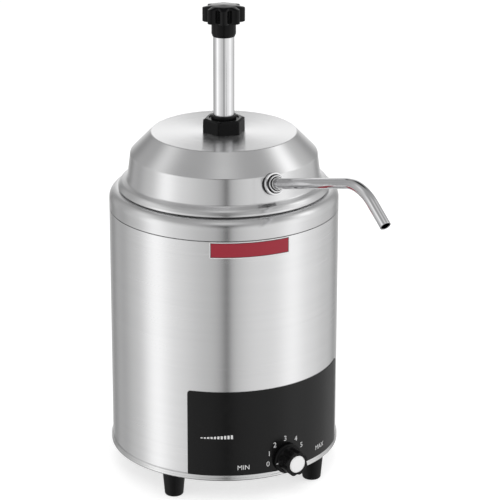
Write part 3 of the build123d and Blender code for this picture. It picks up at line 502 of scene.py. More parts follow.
def loop(points: Points, radii: Sequence[float] | float, steps: int, longest: float) -> np.ndarray:
    """A closed outline with rounded corners, with points added along its longer runs.

    Args:
        points: Corners as (radius, height), the last one the same as the first.
        radii: One radius for each corner between them, or one for all.
        steps: Points on each arc.
        longest: Longest run between two points.

    Returns:
        The outline without its last point, which is the first one again.
    """
    return filled(rounded(points, radii, steps)[:-1], longest)


def pipe_line(outer: float, inner: float, low: float, high: float, edge: float,
              longest: float) -> np.ndarray:
    """Outline of an upright pipe's wall with rounded edges, from the middle of its bore round.

    Args:
        outer: Outer radius.
        inner: Radius of the bore.
        low: Height of its lower end.
        high: Height of its upper end.
        edge: Rounding of its four edges.
        longest: Longest run between two points.

    Returns:
        The closed outline, with the solid on its left.
    """
    middle = (inner, (low + high) / 2)
    points = [middle, (inner, low), (outer, low), (outer, high), (inner, high), middle]
    return loop(points, edge, 5, longest)


def vessel_line(radius: float, flange: float, top: float, bottom: float, corner: float,
                wall: float) -> np.ndarray:
    """Outline of a drawn vessel with a flange, its sheet inside and above the given faces.

    Args:
        radius: Outer radius of the wall.
        flange: Outer radius of the flange.
        top: Height of the flange's underside.
        bottom: Height of the floor's underside.
        corner: Outer rounding between the wall and the floor.
        wall: The sheet's thickness.

    Returns:
        The closed outline, with the solid on its left.
    """
    points = [(0.0, bottom), (radius, bottom), (radius, top), (flange, top), (flange, top + wall),
              (radius - wall, top + wall), (radius - wall, bottom + wall), (0.0, bottom + wall)]
    edge = wall * 0.45
    radii = [corner, 1.5 * MM - wall * 0.5, edge, edge, 1.5 * MM + wall * 0.5, corner - wall]
    return filled(rounded(points, radii, 10), 6 * MM)


def grid_mesh(grid: np.ndarray, around: bool, along: bool) -> bpy.types.Mesh:
    """Joins a grid of points into quads.

    Args:
        grid: Points as an array of rows, columns and three coordinates.
        around: Whether the last column joins the first.
        along: Whether the last row joins the first.

    Returns:
        The mesh, with doubled points merged, so that poles close.
    """
    rows, columns = grid.shape[:2]
    row = np.arange(rows if along else rows - 1)
    column = np.arange(columns if around else columns - 1)
    here, beside = np.meshgrid(row, column, indexing="ij")
    over, across = (here + 1) % rows, (beside + 1) % columns
    faces = np.stack([here * columns + beside, here * columns + across,
                      over * columns + across, over * columns + beside], -1).reshape(-1, 4)
    flat = grid.reshape(-1, 3)
    keys = np.round(flat / SAME_POINT).astype(np.int64)
    _, first, index = np.unique(keys, axis=0, return_index=True, return_inverse=True)
    faces = index.reshape(-1)[faces]
    doubled = faces == np.roll(faces, -1, axis=1)
    quads = faces[~doubled.any(axis=1)]
    thin = faces[doubled.sum(axis=1) == 1]
    kept = ~doubled[doubled.sum(axis=1) == 1]
    triangles = thin[kept].reshape(-1, 3) if len(thin) else np.empty((0, 3), int)
    mesh = bpy.data.meshes.new("grid")
    mesh.from_pydata(flat[first].tolist(), [], quads.tolist() + triangles.tolist())
    mesh.validate()
    return mesh


def full_turn(count: int) -> np.ndarray:
    """Angles of a full turn, evenly spaced, with the last left out."""
    return np.linspace(0.0, 2 * math.pi, count, endpoint=False)


def turned(profile: np.ndarray, angles: np.ndarray, shape: Shape | None = None,
           closed: bool = True) -> bpy.types.Mesh:
    """Turns an outline about the Z axis: (r cos a, r sin a, z) for each angle a.

    Args:
        profile: Outline of (radius, height), the solid on its left-hand side.
        angles: The angles, in radians.
        shape: Gives a new radius from the radius, height and angle, for lobes, flats and grooves.
        closed: Whether the outline's end joins its start.

    Returns:
        The mesh.
    """
    radius, angle = np.meshgrid(profile[:, 0], angles, indexing="ij")
    height = np.broadcast_to(profile[:, 1][:, None], radius.shape)
    if shape is not None:
        radius = shape(radius, height, angle)
    grid = np.stack([radius * np.cos(angle), radius * np.sin(angle), height], -1)
    return grid_mesh(grid, True, closed)


def laid(mesh: bpy.types.Mesh, place: Matrix) -> bpy.types.Mesh:
    """Moves a mesh's points by a matrix, so that its object can stay at the origin."""
    mesh.transform(place)
    return mesh


def radial(azimuth: float, reach: float, height: float) -> Matrix:
    """Matrix that lays a shape made along +Z out along an azimuth.

    Args:
        azimuth: Degrees from the front towards +X.
        reach: Distance of the shape's origin from the body's axis.
        height: Height of that origin.

    Returns:
        The matrix. The shape's own +Y becomes +Z.
    """
    turn = Matrix.Rotation(math.radians(azimuth), 4, "Z")
    return turn @ Matrix.Translation((0.0, -reach, height)) @ Matrix.Rotation(math.pi / 2, 4, "X")


def polygon_radius(angle: np.ndarray, apothem: float, sides: int, sharpness: float) -> np.ndarray:
    """Radius of a polygon with softened corners.

    It is apothem / (sum over the sides of max(0, cos(angle - side))^n)^(1/n), which tends to the
    true polygon as n grows.

    Args:
        angle: Angles round the polygon.
        apothem: Distance of each side from the centre.
        sides: How many sides.
        sharpness: The exponent n.

    Returns:
        The radius at each angle.
    """
    total = np.zeros_like(angle)
    for side in range(sides):
        total += np.maximum(0.0, np.cos(angle - side * 2 * math.pi / sides)) ** sharpness
    return apothem / total ** (1.0 / sharpness)


def tube(path: np.ndarray, outer: float, inner: float, count: int) -> bpy.types.Mesh:
    """A round tube with a bore along a path in the plane x = 0, its cut ends lightly rounded.

    Args:
        path: Points of (distance from the axis towards the front, height).
        outer: Outer radius.
        inner: Radius of the bore.
        count: Points round the tube.

    Returns:
        The mesh.
    """
    tangent = np.gradient(path, axis=0)
    tangent /= np.linalg.norm(tangent, axis=1)[:, None]
    normal = np.stack([-tangent[:, 1], tangent[:, 0]], 1)
    turn = full_turn(count)
    lip = min(0.35 * MM, (outer - inner) * 0.4)
    bend = np.linspace(0.0, math.pi / 2, 4)
    last = len(path) - 1
    rings = [(0, outer - lip + lip * math.sin(a), lip * (1 - math.cos(a))) for a in bend]
    rings += [(i, outer, 0.0) for i in range(1, last)]
    rings += [(last, outer - lip + lip * math.cos(a), -lip + lip * math.sin(a)) for a in bend]
    rings += [(last, inner + lip - lip * math.sin(a), -lip + lip * math.cos(a)) for a in bend]
    rings += [(i, inner, 0.0) for i in range(last - 1, 0, -1)]
    rings += [(0, inner + lip - lip * math.cos(a), lip * (1 - math.sin(a))) for a in bend]
    index = np.array([ring[0] for ring in rings])
    size = np.array([ring[1] for ring in rings])[:, None]
    spot = path[index] + tangent[index] * np.array([ring[2] for ring in rings])[:, None]
    out = spot[:, :1] + size * np.sin(turn) * normal[index, :1]
    up = spot[:, 1:] + size * np.sin(turn) * normal[index, 1:]
    side = np.broadcast_to(size * np.cos(turn), out.shape)
    return grid_mesh(np.stack([side, -out, up], -1), True, True)


def arc_path(points: Points, radius: float, step: float) -> np.ndarray:
    """A path of runs and tangent arcs, with points no further apart than the step."""
    return filled(rounded(points, radius, 24), step)


def wrapped(flat: np.ndarray, faces: Faces, radius: float, azimuth: float, height: float,
            thickness: float) -> bpy.types.Mesh:
    """Bends a flat sheet round the body and gives it a thickness.

    A flat point (s, t) goes to the azimuth s / radius and the height t, so lengths are kept.

    Args:
        flat: Points of (along the circle, up).
        faces: Faces as lists of point indices, counterclockwise seen from outside.
        radius: Radius of the sheet's inner face.
        azimuth: Azimuth of s = 0, in degrees.
        height: Height of t = 0.
        thickness: Wall of the sheet.

    Returns:
        A closed mesh.
    """
    count = len(flat)
    angle = math.radians(azimuth) + flat[:, 0] / radius
    layers = [np.stack([r * np.sin(angle), -r * np.cos(angle), height + flat[:, 1]], -1)
              for r in (radius, radius + thickness)]
    outer = [[i + count for i in face] for face in faces]
    inner = [face[::-1] for face in faces]
    edges: dict[tuple[int, int], int] = {}
    for face in faces:
        for start, stop in zip(face, face[1:] + face[:1]):
            edges[start, stop] = edges.get((start, stop), 0) + 1
    rim = [[a, b, b + count, a + count] for a, b in edges if (b, a) not in edges]
    mesh = bpy.data.meshes.new("sheet")
    mesh.from_pydata(np.vstack(layers).tolist(), [], outer + inner + rim)
    mesh.validate()
    return mesh


def sheet_grid(width: Callable[[np.ndarray], np.ndarray], heights: np.ndarray,
               columns: int) -> tuple[np.ndarray, Faces]:
    """A flat grid whose half width changes with its height.

    Args:
        width: Gives the half width at each height.
        heights: Heights of the rows, from the bottom up.
        columns: Points across.

    Returns:
        The points, and the quads between them.
    """
    share = np.linspace(-1.0, 1.0, columns)
    across = width(heights)[:, None] * share
    flat = np.stack([across, np.repeat(heights[:, None], columns, 1)], -1)
    rows = len(heights)
    index = np.arange(rows * columns).reshape(rows, columns)
    quads = np.stack([index[:-1, :-1], index[:-1, 1:], index[1:, 1:], index[1:, :-1]], -1)
    return flat.reshape(-1, 2), quads.reshape(-1, 4).tolist()


def lettering(text: str, height: float) -> tuple[np.ndarray, Faces]:
    """A flat mesh of plain characters, centred on the origin.

    Args:
        text: The characters.
        height: Height of a capital.

    Returns:
        Points of (along, up) and faces.
    """
    curve = bpy.data.curves.new(f"letters_{text}", "FONT")
    curve.body = text
    curve.align_x = "CENTER"
    curve.align_y = "CENTER"
    curve.size = height / CAPITAL_SHARE
    curve.resolution_u = 3
    holder = bpy.data.objects.new(curve.name, curve)
    mesh = bpy.data.meshes.new_from_object(holder)
    flat = np.array([vertex.co[:2] for vertex in mesh.vertices])
    faces = [list(polygon.vertices) for polygon in mesh.polygons]
    normals = [polygon.normal.z for polygon in mesh.polygons]
    faces = [face if up > 0 else face[::-1] for face, up in zip(faces, normals)]
    bpy.data.objects.remove(holder)
    bpy.data.curves.remove(curve)
    bpy.data.meshes.remove(mesh)
    return flat, faces


# ------------------------------------------------------------------------------ pieces of the frame


def finished(name: str, mesh: bpy.types.Mesh, finish: Finish, body: Body,
             nodes: Sequence[str] = ()) -> None:
    """Makes an object of a mesh, dresses it and ties it to the frame.

    Args:
        name: The piece's name.
        mesh: Its mesh, in metres and in the frame.
        finish: Its finish.
        body: The body that it rides on.
        nodes: Nodes of the frame that it stands for.
    """
    mesh.name = name
    piece = bpy.data.objects.new(name, mesh)
    bpy.context.scene.collection.objects.link(piece)
    mesh.polygons.foreach_set("use_smooth", np.ones(len(mesh.polygons), bool))
    mesh.materials.append(finish.material())
    weighted = piece.modifiers.new("even_normals", "WEIGHTED_NORMAL")
    weighted.keep_sharp = True
    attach(piece, body.value)
    if nodes:
        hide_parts(*nodes)
    LOG.info("%s: %d faces on %s", name, len(mesh.polygons), body.value)


def skin(node: str, mesh: bpy.types.Mesh, finish: Finish, body: Body) -> None:
    """Finishes a mesh as the skin that stands for a node of the frame."""
    finished(f"{node}_skin", mesh, finish, body, [node])


def dress(node: str, finish: Finish) -> None:
    """Gives a node of the frame a finish, with its shape as it is."""
    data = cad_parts[node].data
    data.materials.clear()
    data.materials.append(finish.material())


# ------------------------------------------------------------------------------ the body


@dataclass
class Casing:
    """The steel body: shell, top ring, pan with its bright band, well and feet."""

    radius: float = 110.0 * MM
    wall: float = 0.8 * MM
    pan_floor: float = 25.5 * MM
    seam: float = 265.5 * MM
    seam_gap: float = 0.75 * MM
    deck: float = 284.0 * MM
    shoulder: float = 14.0 * MM
    ring_wall: float = 0.9 * MM
    deck_hole: float = 89.5 * MM
    lap: float = 8.0 * MM
    lap_step: float = 1.7 * MM
    lap_wall: float = 0.8 * MM
    band_low: float = 24.5 * MM
    band_high: float = 30.0 * MM
    band_radius: float = 111.3 * MM
    band_film: float = 0.12 * MM
    band_groove: float = 0.45 * MM
    weld_azimuth: float = 180.0
    weld_width: float = 0.7 * MM
    weld_depth: float = 0.16 * MM
    well_radius: float = 88.0 * MM
    well_flange: float = 97.0 * MM
    well_bottom: float = 100.0 * MM
    foot_top: float = 11.0 * MM
    foot_sole: float = 8.9 * MM
    foot_recess: float = 4.5 * MM
    foot_recess_top: float = 9.0 * MM
    foot_bore: float = 2.3 * MM
    foot_circle: float = 98.0 * MM
    foot_azimuths: dict[str, float] = field(default_factory=lambda: {
        "foot_front_left": -59.6, "foot_front_right": 30.4, "foot_rear_right": 120.4,
        "foot_rear_left": 210.4})

    def build(self) -> None:
        """Makes and dresses every piece of the body."""
        self.shell()
        self.top_ring()
        self.band()
        self.well()
        for name, azimuth in self.foot_azimuths.items():
            self.foot(name, azimuth)
        dress("base_pan", BAND_STEEL)
        for node in ("foot_screws", "foot_nuts", "tie_nuts", "tie_studs", "heater_studs",
                     "heater_nuts", "earth_screw", "heater_element", "heater_clamp", "sensor_bulb",
                     "thermostat_nut", "thermostat_shaft"):
            dress(node, HARDWARE)
        for node in ("thermostat", "thermal_cutout", "gland_nut"):
            dress(node, PLASTIC)
        dress("well_insulation", WOOL)
        dress("terminal_block", CERAMIC)

    def shell(self) -> None:
        """Shell: a thin tube whose wall dips along the butt weld at the back.

        The dip is depth * exp(-(distance from the weld / width)^2), on angles that crowd there.
        """
        inner = self.radius - self.wall
        line = pipe_line(self.radius, inner, self.pan_floor, self.seam - self.seam_gap, 0.3 * MM,
                         12 * MM)
        weld = math.radians(self.weld_azimuth - 90.0)
        crowd = weld + np.linspace(-1, 1, 41) * 3 * self.weld_width / self.radius
        angles = np.unique(np.concatenate([np.mod(crowd, 2 * math.pi), full_turn(384)]))

        def dipped(radius: np.ndarray, height: np.ndarray, angle: np.ndarray) -> np.ndarray:
            """Lowers the outer face along the weld."""
            away = (np.mod(angle - weld + math.pi, 2 * math.pi) - math.pi) * self.radius
            dip = self.weld_depth * np.exp(-(away / self.weld_width) ** 2)
            return radius - np.where(radius > inner + self.wall / 2, dip, 0.0)

        mesh = turned(line, angles, dipped)
        skin("outer_shell", mesh, SHELL_STEEL, Body.ROOT)

    def top_ring(self) -> None:
        """Top ring: deck, rounded shoulder, skirt, and the lap that reaches down in the shell."""
        outer, wall = self.radius, self.ring_wall
        lap, lap_low = outer - self.lap_step, self.seam - self.lap
        lap_inside = lap - self.lap_wall
        hole, under = self.deck_hole, self.deck - wall
        points = [(lap_inside, lap_low), (lap, lap_low), (lap, self.seam), (outer, self.seam),
                  (outer, self.deck), (hole, self.deck), (hole, under), (outer - wall, under),
                  (outer - wall, self.seam + 4 * MM), (lap_inside, self.seam + 3 * MM),
                  (lap_inside, lap_low)]
        radii = [0.2 * MM, 0.01 * MM, 0.25 * MM, self.shoulder, 0.3 * MM, 0.3 * MM,
                 self.shoulder - wall, 0.4 * MM, 0.4 * MM]
        mesh = turned(loop(points, radii, 14, 5 * MM), full_turn(384))
        skin("top_ring", mesh, SPUN, Body.ROOT)

    def band(self) -> None:
        """Bright band round the pan's rim: two flat strips with a rolled groove between them."""
        low, high = self.band_low + 0.6 * MM, self.band_high + self.band_film
        out, groove, middle = self.band_radius + self.band_film, self.band_groove, (low + high) / 2
        line = [(out - 0.9 * MM, low), (out - 0.35 * MM, low), (out, low + 0.5 * MM),
                (out, middle - groove), (out - 0.3 * MM, middle), (out, middle + groove),
                (out, high - 0.2 * MM), (out - 0.25 * MM, high), (out - 1.3 * MM, high),
                (out - 1.3 * MM, high - 0.5 * MM), (out - 0.15 * MM, high - 0.5 * MM),
                (out - 0.15 * MM, low + 0.9 * MM), (out - 0.9 * MM, low)]
        mesh = turned(rounded(line, 0.12 * MM, 4)[:-1], full_turn(384))
        finished("pan_band", mesh, BAND_STEEL, Body.ROOT)

    def well(self) -> None:
        """Water well: a deep-drawn vessel that hangs by its flange on the deck."""
        line = vessel_line(self.well_radius, self.well_flange, self.deck, self.well_bottom,
                           12.0 * MM, self.wall)
        skin("water_well", turned(line, full_turn(256)), WELL_STEEL, Body.ROOT)

    def foot(self, name: str, azimuth: float) -> None:
        """Foot: a tapered rubber turning with a softly rounded sole and a recess for its screw."""
        top, bore, recess = self.band_low, self.foot_bore, self.foot_recess
        points = [(bore, top), (bore, self.foot_recess_top), (recess, self.foot_recess_top),
                  (recess, 0.0), (self.foot_sole, 0.0), (self.foot_top - 0.1 * MM, top - 1.5 * MM),
                  (self.foot_top, top), (bore, top)]
        radii = [0.4 * MM, 0.6 * MM, 0.7 * MM, 2.2 * MM, 2.0 * MM, 0.6 * MM]
        mesh = turned(loop(points, radii, 8, 2 * MM), full_turn(96))
        turn = Matrix.Rotation(math.radians(azimuth), 4, "Z")
        place = turn @ Matrix.Translation((0.0, -self.foot_circle, 0.0))
        skin(name, laid(mesh, place), FOOT_RUBBER, Body.ROOT)


@dataclass
class Panel:
    """The dark printed overlay, its marks, and the plain red strip under the seam."""

    casing: Casing
    dial: "Dial"
    carried: float = 0.2 * MM
    thickness: float = 0.35 * MM
    half_angle: float = 48.5
    top: float = 115.5 * MM
    corner: float = 3.0 * MM
    number_circle: float = 20.0 * MM
    number_height: float = 5.4 * MM
    word_height: float = 5.0 * MM
    ink: float = 0.05 * MM
    end_places: tuple[tuple[str, float, float], ...] = (("MIN", -20.5, 37.6 * MM),
                                                        ("MAX", 26.4, 38.7 * MM))
    bars: int = 10
    bar_pitch: float = 3.2 * MM
    bar_width: float = 2.0 * MM
    bar_first: float = 1.1 * MM
    bar_rise: float = 0.32 * MM
    bars_place: tuple[float, float] = (-33.4, 67.9 * MM)
    strip_azimuths: tuple[float, float] = (-37.0, 3.3)
    strip_heights: tuple[float, float] = (248.8 * MM, 264.4 * MM)
    strip_layers: tuple[tuple[str, Finish, float], ...] = (
        ("strip_border", PALE_FILM, 0.0), ("strip_line", DARK_INK, 0.7 * MM),
        ("strip_field", RED_FILM, 1.25 * MM))

    @property
    def back(self) -> float:
        """Radius of the overlay's back."""
        return self.casing.radius + self.carried

    @property
    def face(self) -> float:
        """Radius of the overlay's printed face."""
        return self.back + self.thickness

    def build(self) -> None:
        """Makes the overlay, its marks and the strip."""
        self.overlay()
        self.numbers()
        self.end_words()
        self.heat_mark()
        self.strip()

    def overlay(self) -> None:
        """Overlay: a film whose half width narrows by a quarter circle at its upper corners."""
        low = self.casing.band_high
        height = self.top - low
        half = math.radians(self.half_angle) * self.casing.radius
        corner = self.corner
        rise = height - corner + corner * np.sin(np.linspace(0, math.pi / 2, 9))
        rows = np.concatenate([np.linspace(0.0, height - corner, 12)[:-1], rise])

        def width(at: np.ndarray) -> np.ndarray:
            """Half width at each height."""
            over = np.clip((at - (height - corner)) / corner, 0.0, 1.0)
            return half - corner + corner * np.sqrt(np.maximum(0.0, 1.0 - over ** 2))

        flat, faces = sheet_grid(width, rows, 161)
        mesh = wrapped(flat, faces, self.back, 0.0, low, self.thickness)
        finished("panel_overlay", mesh, FILM, Body.ROOT, ["control_panel"])

    def mark(self, name: str, flat: np.ndarray, faces: Faces, along: float, up: float) -> None:
        """Prints a flat shape on the overlay in white.

        Args:
            name: The piece's name.
            flat: Its points.
            faces: Its faces.
            along: Distance of its origin from the panel's middle, round the body.
            up: Height of its origin.
        """
        azimuth = math.degrees(along / self.casing.radius)
        mesh = wrapped(flat, faces, self.face, azimuth, up, self.ink)
        finished(name, mesh, WHITE_INK, Body.ROOT)

    def along(self, azimuth: float) -> float:
        """Distance of an azimuth from the panel's middle, round the body."""
        return math.radians(azimuth) * self.casing.radius

    def numbers(self) -> None:
        """Numbers 0 to 5 on a circle round the dial, upright, about 33 degrees from each other."""
        for number, angle in enumerate(self.dial.number_angles):
            flat, faces = lettering(str(number), self.number_height)
            turn = math.radians(angle)
            along = self.along(self.dial.azimuth) + self.number_circle * math.sin(turn)
            up = self.dial.height + self.number_circle * math.cos(turn)
            self.mark(f"number_{number}", flat, faces, along, up)

    def end_words(self) -> None:
        """The plain words MIN and MAX at the two ends of the scale."""
        for word, azimuth, height in self.end_places:
            flat, faces = lettering(word, self.word_height)
            self.mark(f"word_{word.lower()}", flat, faces, self.along(azimuth), height)

    def heat_mark(self) -> None:
        """A row of bars that rise from left to right, for a temperature that goes up."""
        flat: list[tuple[float, float]] = []
        faces = []
        for index in range(self.bars):
            left, tall = index * self.bar_pitch, self.bar_first + self.bar_rise * index
            right = left + self.bar_width
            faces.append([len(flat) + corner for corner in range(4)])
            flat += [(left, 0.0), (right, 0.0), (right, tall), (left, tall)]
        azimuth, height = self.bars_place
        start = self.along(azimuth) - self.bars * self.bar_pitch / 2
        self.mark("heat_mark", np.array(flat), faces, start, height)

    def strip(self) -> None:
        """Plain red strip: stacked films, each inset in the one below it."""
        start, stop = self.strip_azimuths
        low, high = self.strip_heights
        for layer, (name, finish, inset) in enumerate(self.strip_layers, 1):
            half = self.along(stop - start) / 2 - inset
            rows = np.array([low + inset, high - inset])
            flat, faces = sheet_grid(lambda at, half=half: np.full_like(at, half), rows, 81)
            radius = self.casing.radius + layer * self.ink
            mesh = wrapped(flat, faces, radius, (start + stop) / 2, 0.0, self.ink)
            finished(name, mesh, finish, Body.ROOT)


# ------------------------------------------------------------------------------ jar, lid and pump


@dataclass
class Jar:
    """The lift-out jar."""

    radius: float = 81.0 * MM
    flange: float = 93.0 * MM
    top: float = 284.8 * MM
    bottom: float = 112.0 * MM
    corner: float = 14.0 * MM
    wall: float = 0.8 * MM

    def build(self) -> None:
        """Makes the jar."""
        line = vessel_line(self.radius, self.flange, self.top, self.bottom, self.corner, self.wall)
        skin("jar", turned(line, full_turn(256)), WELL_STEEL, Body.JAR)


@dataclass
class Lid:
    """The domed lid with the pump's fixed pieces and the spout."""

    wall: float = 0.8 * MM
    seat: float = 284.1 * MM
    hem: float = 95.5 * MM
    hem_foot: float = 97.2 * MM
    hem_rise: float = 1.5 * MM
    rim: float = 101.2 * MM
    lip: float = 287.2 * MM
    roll: tuple[float, float] = (98.6 * MM, 291.0 * MM)
    neck_bottom: tuple[float, float] = (92.5 * MM, 293.6 * MM)
    neck_top: tuple[float, float] = (89.4 * MM, 318.5 * MM)
    crown: float = 69.5 * MM
    top: float = 339.0 * MM
    nut_azimuth: float = -16.0
    nut_apothem: float = 18.1 * MM
    nut_height: float = 13.3 * MM
    nut_bore: float = 14.2 * MM
    nut_draft: float = 0.01
    hole: float = 14.4 * MM
    bush_bore: float = 10.08 * MM
    bush_radius: float = 11.5 * MM
    bush_collar: float = 12.1 * MM
    bush_sunk: float = 18.0 * MM
    bush_rise: float = 4.0 * MM
    spout_wall_point: tuple[float, float] = (90.328 * MM, 310.9 * MM)
    spout_slope: float = 15.8
    spout_corner: float = 237.728 * MM
    spout_bend: float = 55.0 * MM
    tip_slope: float = 35.0
    tip_length: float = 48.5 * MM
    spout_radius: float = 5.0 * MM
    spout_bore: float = 4.0 * MM
    spout_sunk: float = 8.0 * MM
    riser_reach: float = 30.0 * MM
    collar_bore: float = 5.05 * MM
    barrel_radius: float = 15.5 * MM
    barrel_bore: float = 14.2 * MM

    def build(self) -> None:
        """Makes and dresses every piece that lifts with the lid."""
        self.sheet()
        self.locking_nut()
        self.guide_bush()
        self.spout()
        self.collar()
        self.barrel()
        for node in ("pump_head", "spring_guide", "valve_body"):
            dress(node, PLASTIC)
        for node in ("ball_stop", "intake_ball", "discharge_ball", "backing_nut", "return_spring"):
            dress(node, HARDWARE)
        dress("backing_washer", SEAL_RUBBER)

    def sheet(self) -> None:
        """Lid: the sheet's outer line from the hem to the pump's hole, and the same line inset."""
        outside = [(self.hem, self.seat), (self.hem_foot, self.seat),
                   (self.rim, self.seat + self.hem_rise), (self.rim, self.lip), self.roll,
                   self.neck_bottom, self.neck_top, (self.crown, self.top), (self.hole, self.top)]
        radii = [3.0 * MM, 0.9 * MM, 2.5 * MM, 7.0 * MM, 2.8 * MM, 2.5 * MM, 1.6 * MM]
        outer = filled(rounded(outside, radii, 9), 3 * MM)
        tangent = np.gradient(outer, axis=0)
        tangent /= np.linalg.norm(tangent, axis=1)[:, None]
        inner = (outer + np.stack([-tangent[:, 1], tangent[:, 0]], 1) * self.wall)[::-1]
        mesh = turned(np.vstack([outer, inner]), full_turn(320))
        skin("lid", mesh, SPUN, Body.LID)

    def locking_nut(self) -> None:
        """Hexagonal nut with soft corners, a chamfered top and a slight draft."""
        low, high = self.top, self.top + self.nut_height
        face, bore = self.nut_apothem, self.nut_bore
        points = [(bore, low), (face, low), (face, high - 1.4 * MM), (face - 1.5 * MM, high),
                  (bore, high), (bore, low)]
        line = loop(points, [0.5 * MM, 0.8 * MM, 0.8 * MM, 0.4 * MM], 6, 2 * MM)
        front = math.radians(self.nut_azimuth - 90.0)

        def hexagonal(radius: np.ndarray, height: np.ndarray, angle: np.ndarray) -> np.ndarray:
            """Keeps the bore round and makes the outside a hexagon with a slight draft."""
            flats = polygon_radius(angle - front, 1.0, 6, 40.0)
            share = np.clip((radius - bore) / (face - bore), 0.0, 1.0)
            draft = self.nut_draft * share * (height - low) / self.nut_height
            return radius * (1.0 + (flats - 1.0) * share) * (1.0 - draft)

        mesh = turned(line, full_turn(240), hexagonal)
        skin("locking_nut", mesh, GLOSSY, Body.LID)

    def guide_bush(self) -> None:
        """Bush round the plunger's tube, with a rounded collar over the nut."""
        seat = self.top + self.nut_height - 1.0 * MM
        low, high = seat - self.bush_sunk, seat + self.bush_rise
        bore, wide, collar = self.bush_bore, self.bush_radius, self.bush_collar
        points = [(bore, low), (wide, low), (wide, seat), (collar, seat), (collar, high),
                  (bore, high), (bore, low)]
        line = loop(points, [0.2 * MM, 0.05 * MM, 0.1 * MM, 1.0 * MM, 0.4 * MM], 6, 2 * MM)
        skin("guide_bush", turned(line, full_turn(128)), PLASTIC, Body.LID)

    def spout_height(self, reach: float) -> float:
        """Height of the spout's straight run at a distance from the body's axis."""
        start, height = self.spout_wall_point
        return height + (reach - start) * math.tan(math.radians(self.spout_slope))

    def spout(self) -> None:
        """Spout and riser: 10 mm tube on runs and tangent arcs in the plane of azimuth 0."""
        slope, tip = math.radians(self.spout_slope), math.radians(self.tip_slope)
        joint = self.spout_wall_point[0] - self.spout_sunk * math.cos(slope)
        start = (joint, self.spout_height(joint))
        bend, height = self.spout_corner, self.spout_height(self.spout_corner)
        end = (bend + self.tip_length * math.cos(tip), height - self.tip_length * math.sin(tip))
        outside = arc_path([start, (bend, height), end], self.spout_bend, 3 * MM)
        mesh = tube(outside, self.spout_radius, self.spout_bore, 64)
        skin("spout_tube", mesh, SPOUT_STEEL, Body.LID)
        low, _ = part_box("riser_tube")
        reach = self.riser_reach
        below = [(reach, low[2]), (reach, self.spout_height(reach)), start]
        inside = arc_path(below, 20 * MM, 4 * MM)
        mesh = tube(inside, self.spout_radius, self.spout_bore, 48)
        skin("riser_tube", mesh, HARDWARE, Body.LID)

    def collar(self) -> None:
        """Collar on the neck, its outlines as (radius, height) in millimetres on the spout's axis.

        It has a black saddle seal, a flanged bushing, a round nut and a small gland. Two thin black
        rings in the corners between them are painted shade: dark rubber where those corners fall in
        shadow.
        """
        reach, height = self.spout_wall_point
        tilt = Matrix.Rotation(math.pi / 2 - math.radians(self.spout_slope), 4, "X")
        place = Matrix.Translation((0.0, -reach, height)) @ tilt
        bore = self.collar_bore / MM
        flange = [(bore, -11.0), (6.8, -11.0), (6.8, 2.3), (10.7, 2.3), (10.7, 5.2), (bore, 5.2)]
        nut = [(bore, 5.2), (8.0, 5.2), (8.0, 8.0), (bore, 8.0)]
        gland = [(bore, 8.0), (6.1, 8.0), (6.1, 9.6), (bore, 9.6)]
        # The two thin black rings below are painted shade, laid in the corners at the feet of the
        # nut and the gland.
        outer_shade_ring = [(8.1, 5.15), (9.0, 5.15), (9.0, 5.55), (8.1, 5.55)]
        inner_shade_ring = [(6.15, 7.95), (6.9, 7.95), (6.9, 8.35), (6.15, 8.35)]
        saddle = [(6.85, -1.2), (10.4, -1.2), (10.7, 2.3), (6.85, 2.3)]
        pieces = (("spout_bushing_skin", flange, POLISHED, Slot.POLISHED, ["spout_bushing"]),
                  ("spout_collar_nut_skin", nut, POLISHED, Slot.POLISHED, ["spout_collar_nut"]),
                  ("spout_gland_ring", gland, HARDWARE, Slot.POLISHED, []),
                  ("spout_painted_shade_seal_outer", outer_shade_ring, SEAL_RUBBER, Slot.SEAL, []),
                  ("spout_painted_shade_seal_inner", inner_shade_ring, SEAL_RUBBER, Slot.SEAL, []),
                  ("spout_saddle_skin", saddle, SEAL_RUBBER, Slot.SEAL, ["spout_saddle"]))
        for name, outline, finish, slot, nodes in pieces:
            scaled = np.array(outline) * MM
            middle = (scaled[:1] + scaled[-1:]) / 2
            # The two painted-shade rings, whose names hold 'seal', get the finer rounding.
            edge = 0.15 * MM if "seal" in name else 0.55 * MM
            line = loop(np.vstack([middle, scaled, middle]), edge, 6, 2 * MM)
            mesh = laid(turned(line, full_turn(128)), place)
            finished(name, mesh, finish, Body.LID, nodes)

    def barrel(self) -> None:
        """Pump barrel: a long thin tube with rounded ends."""
        low, high = (corner[2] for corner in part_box("pump_cylinder"))
        line = pipe_line(self.barrel_radius, self.barrel_bore, low, high, 0.4 * MM, 8 * MM)
        skin("pump_cylinder", turned(line, full_turn(128)), HARDWARE, Body.LID)


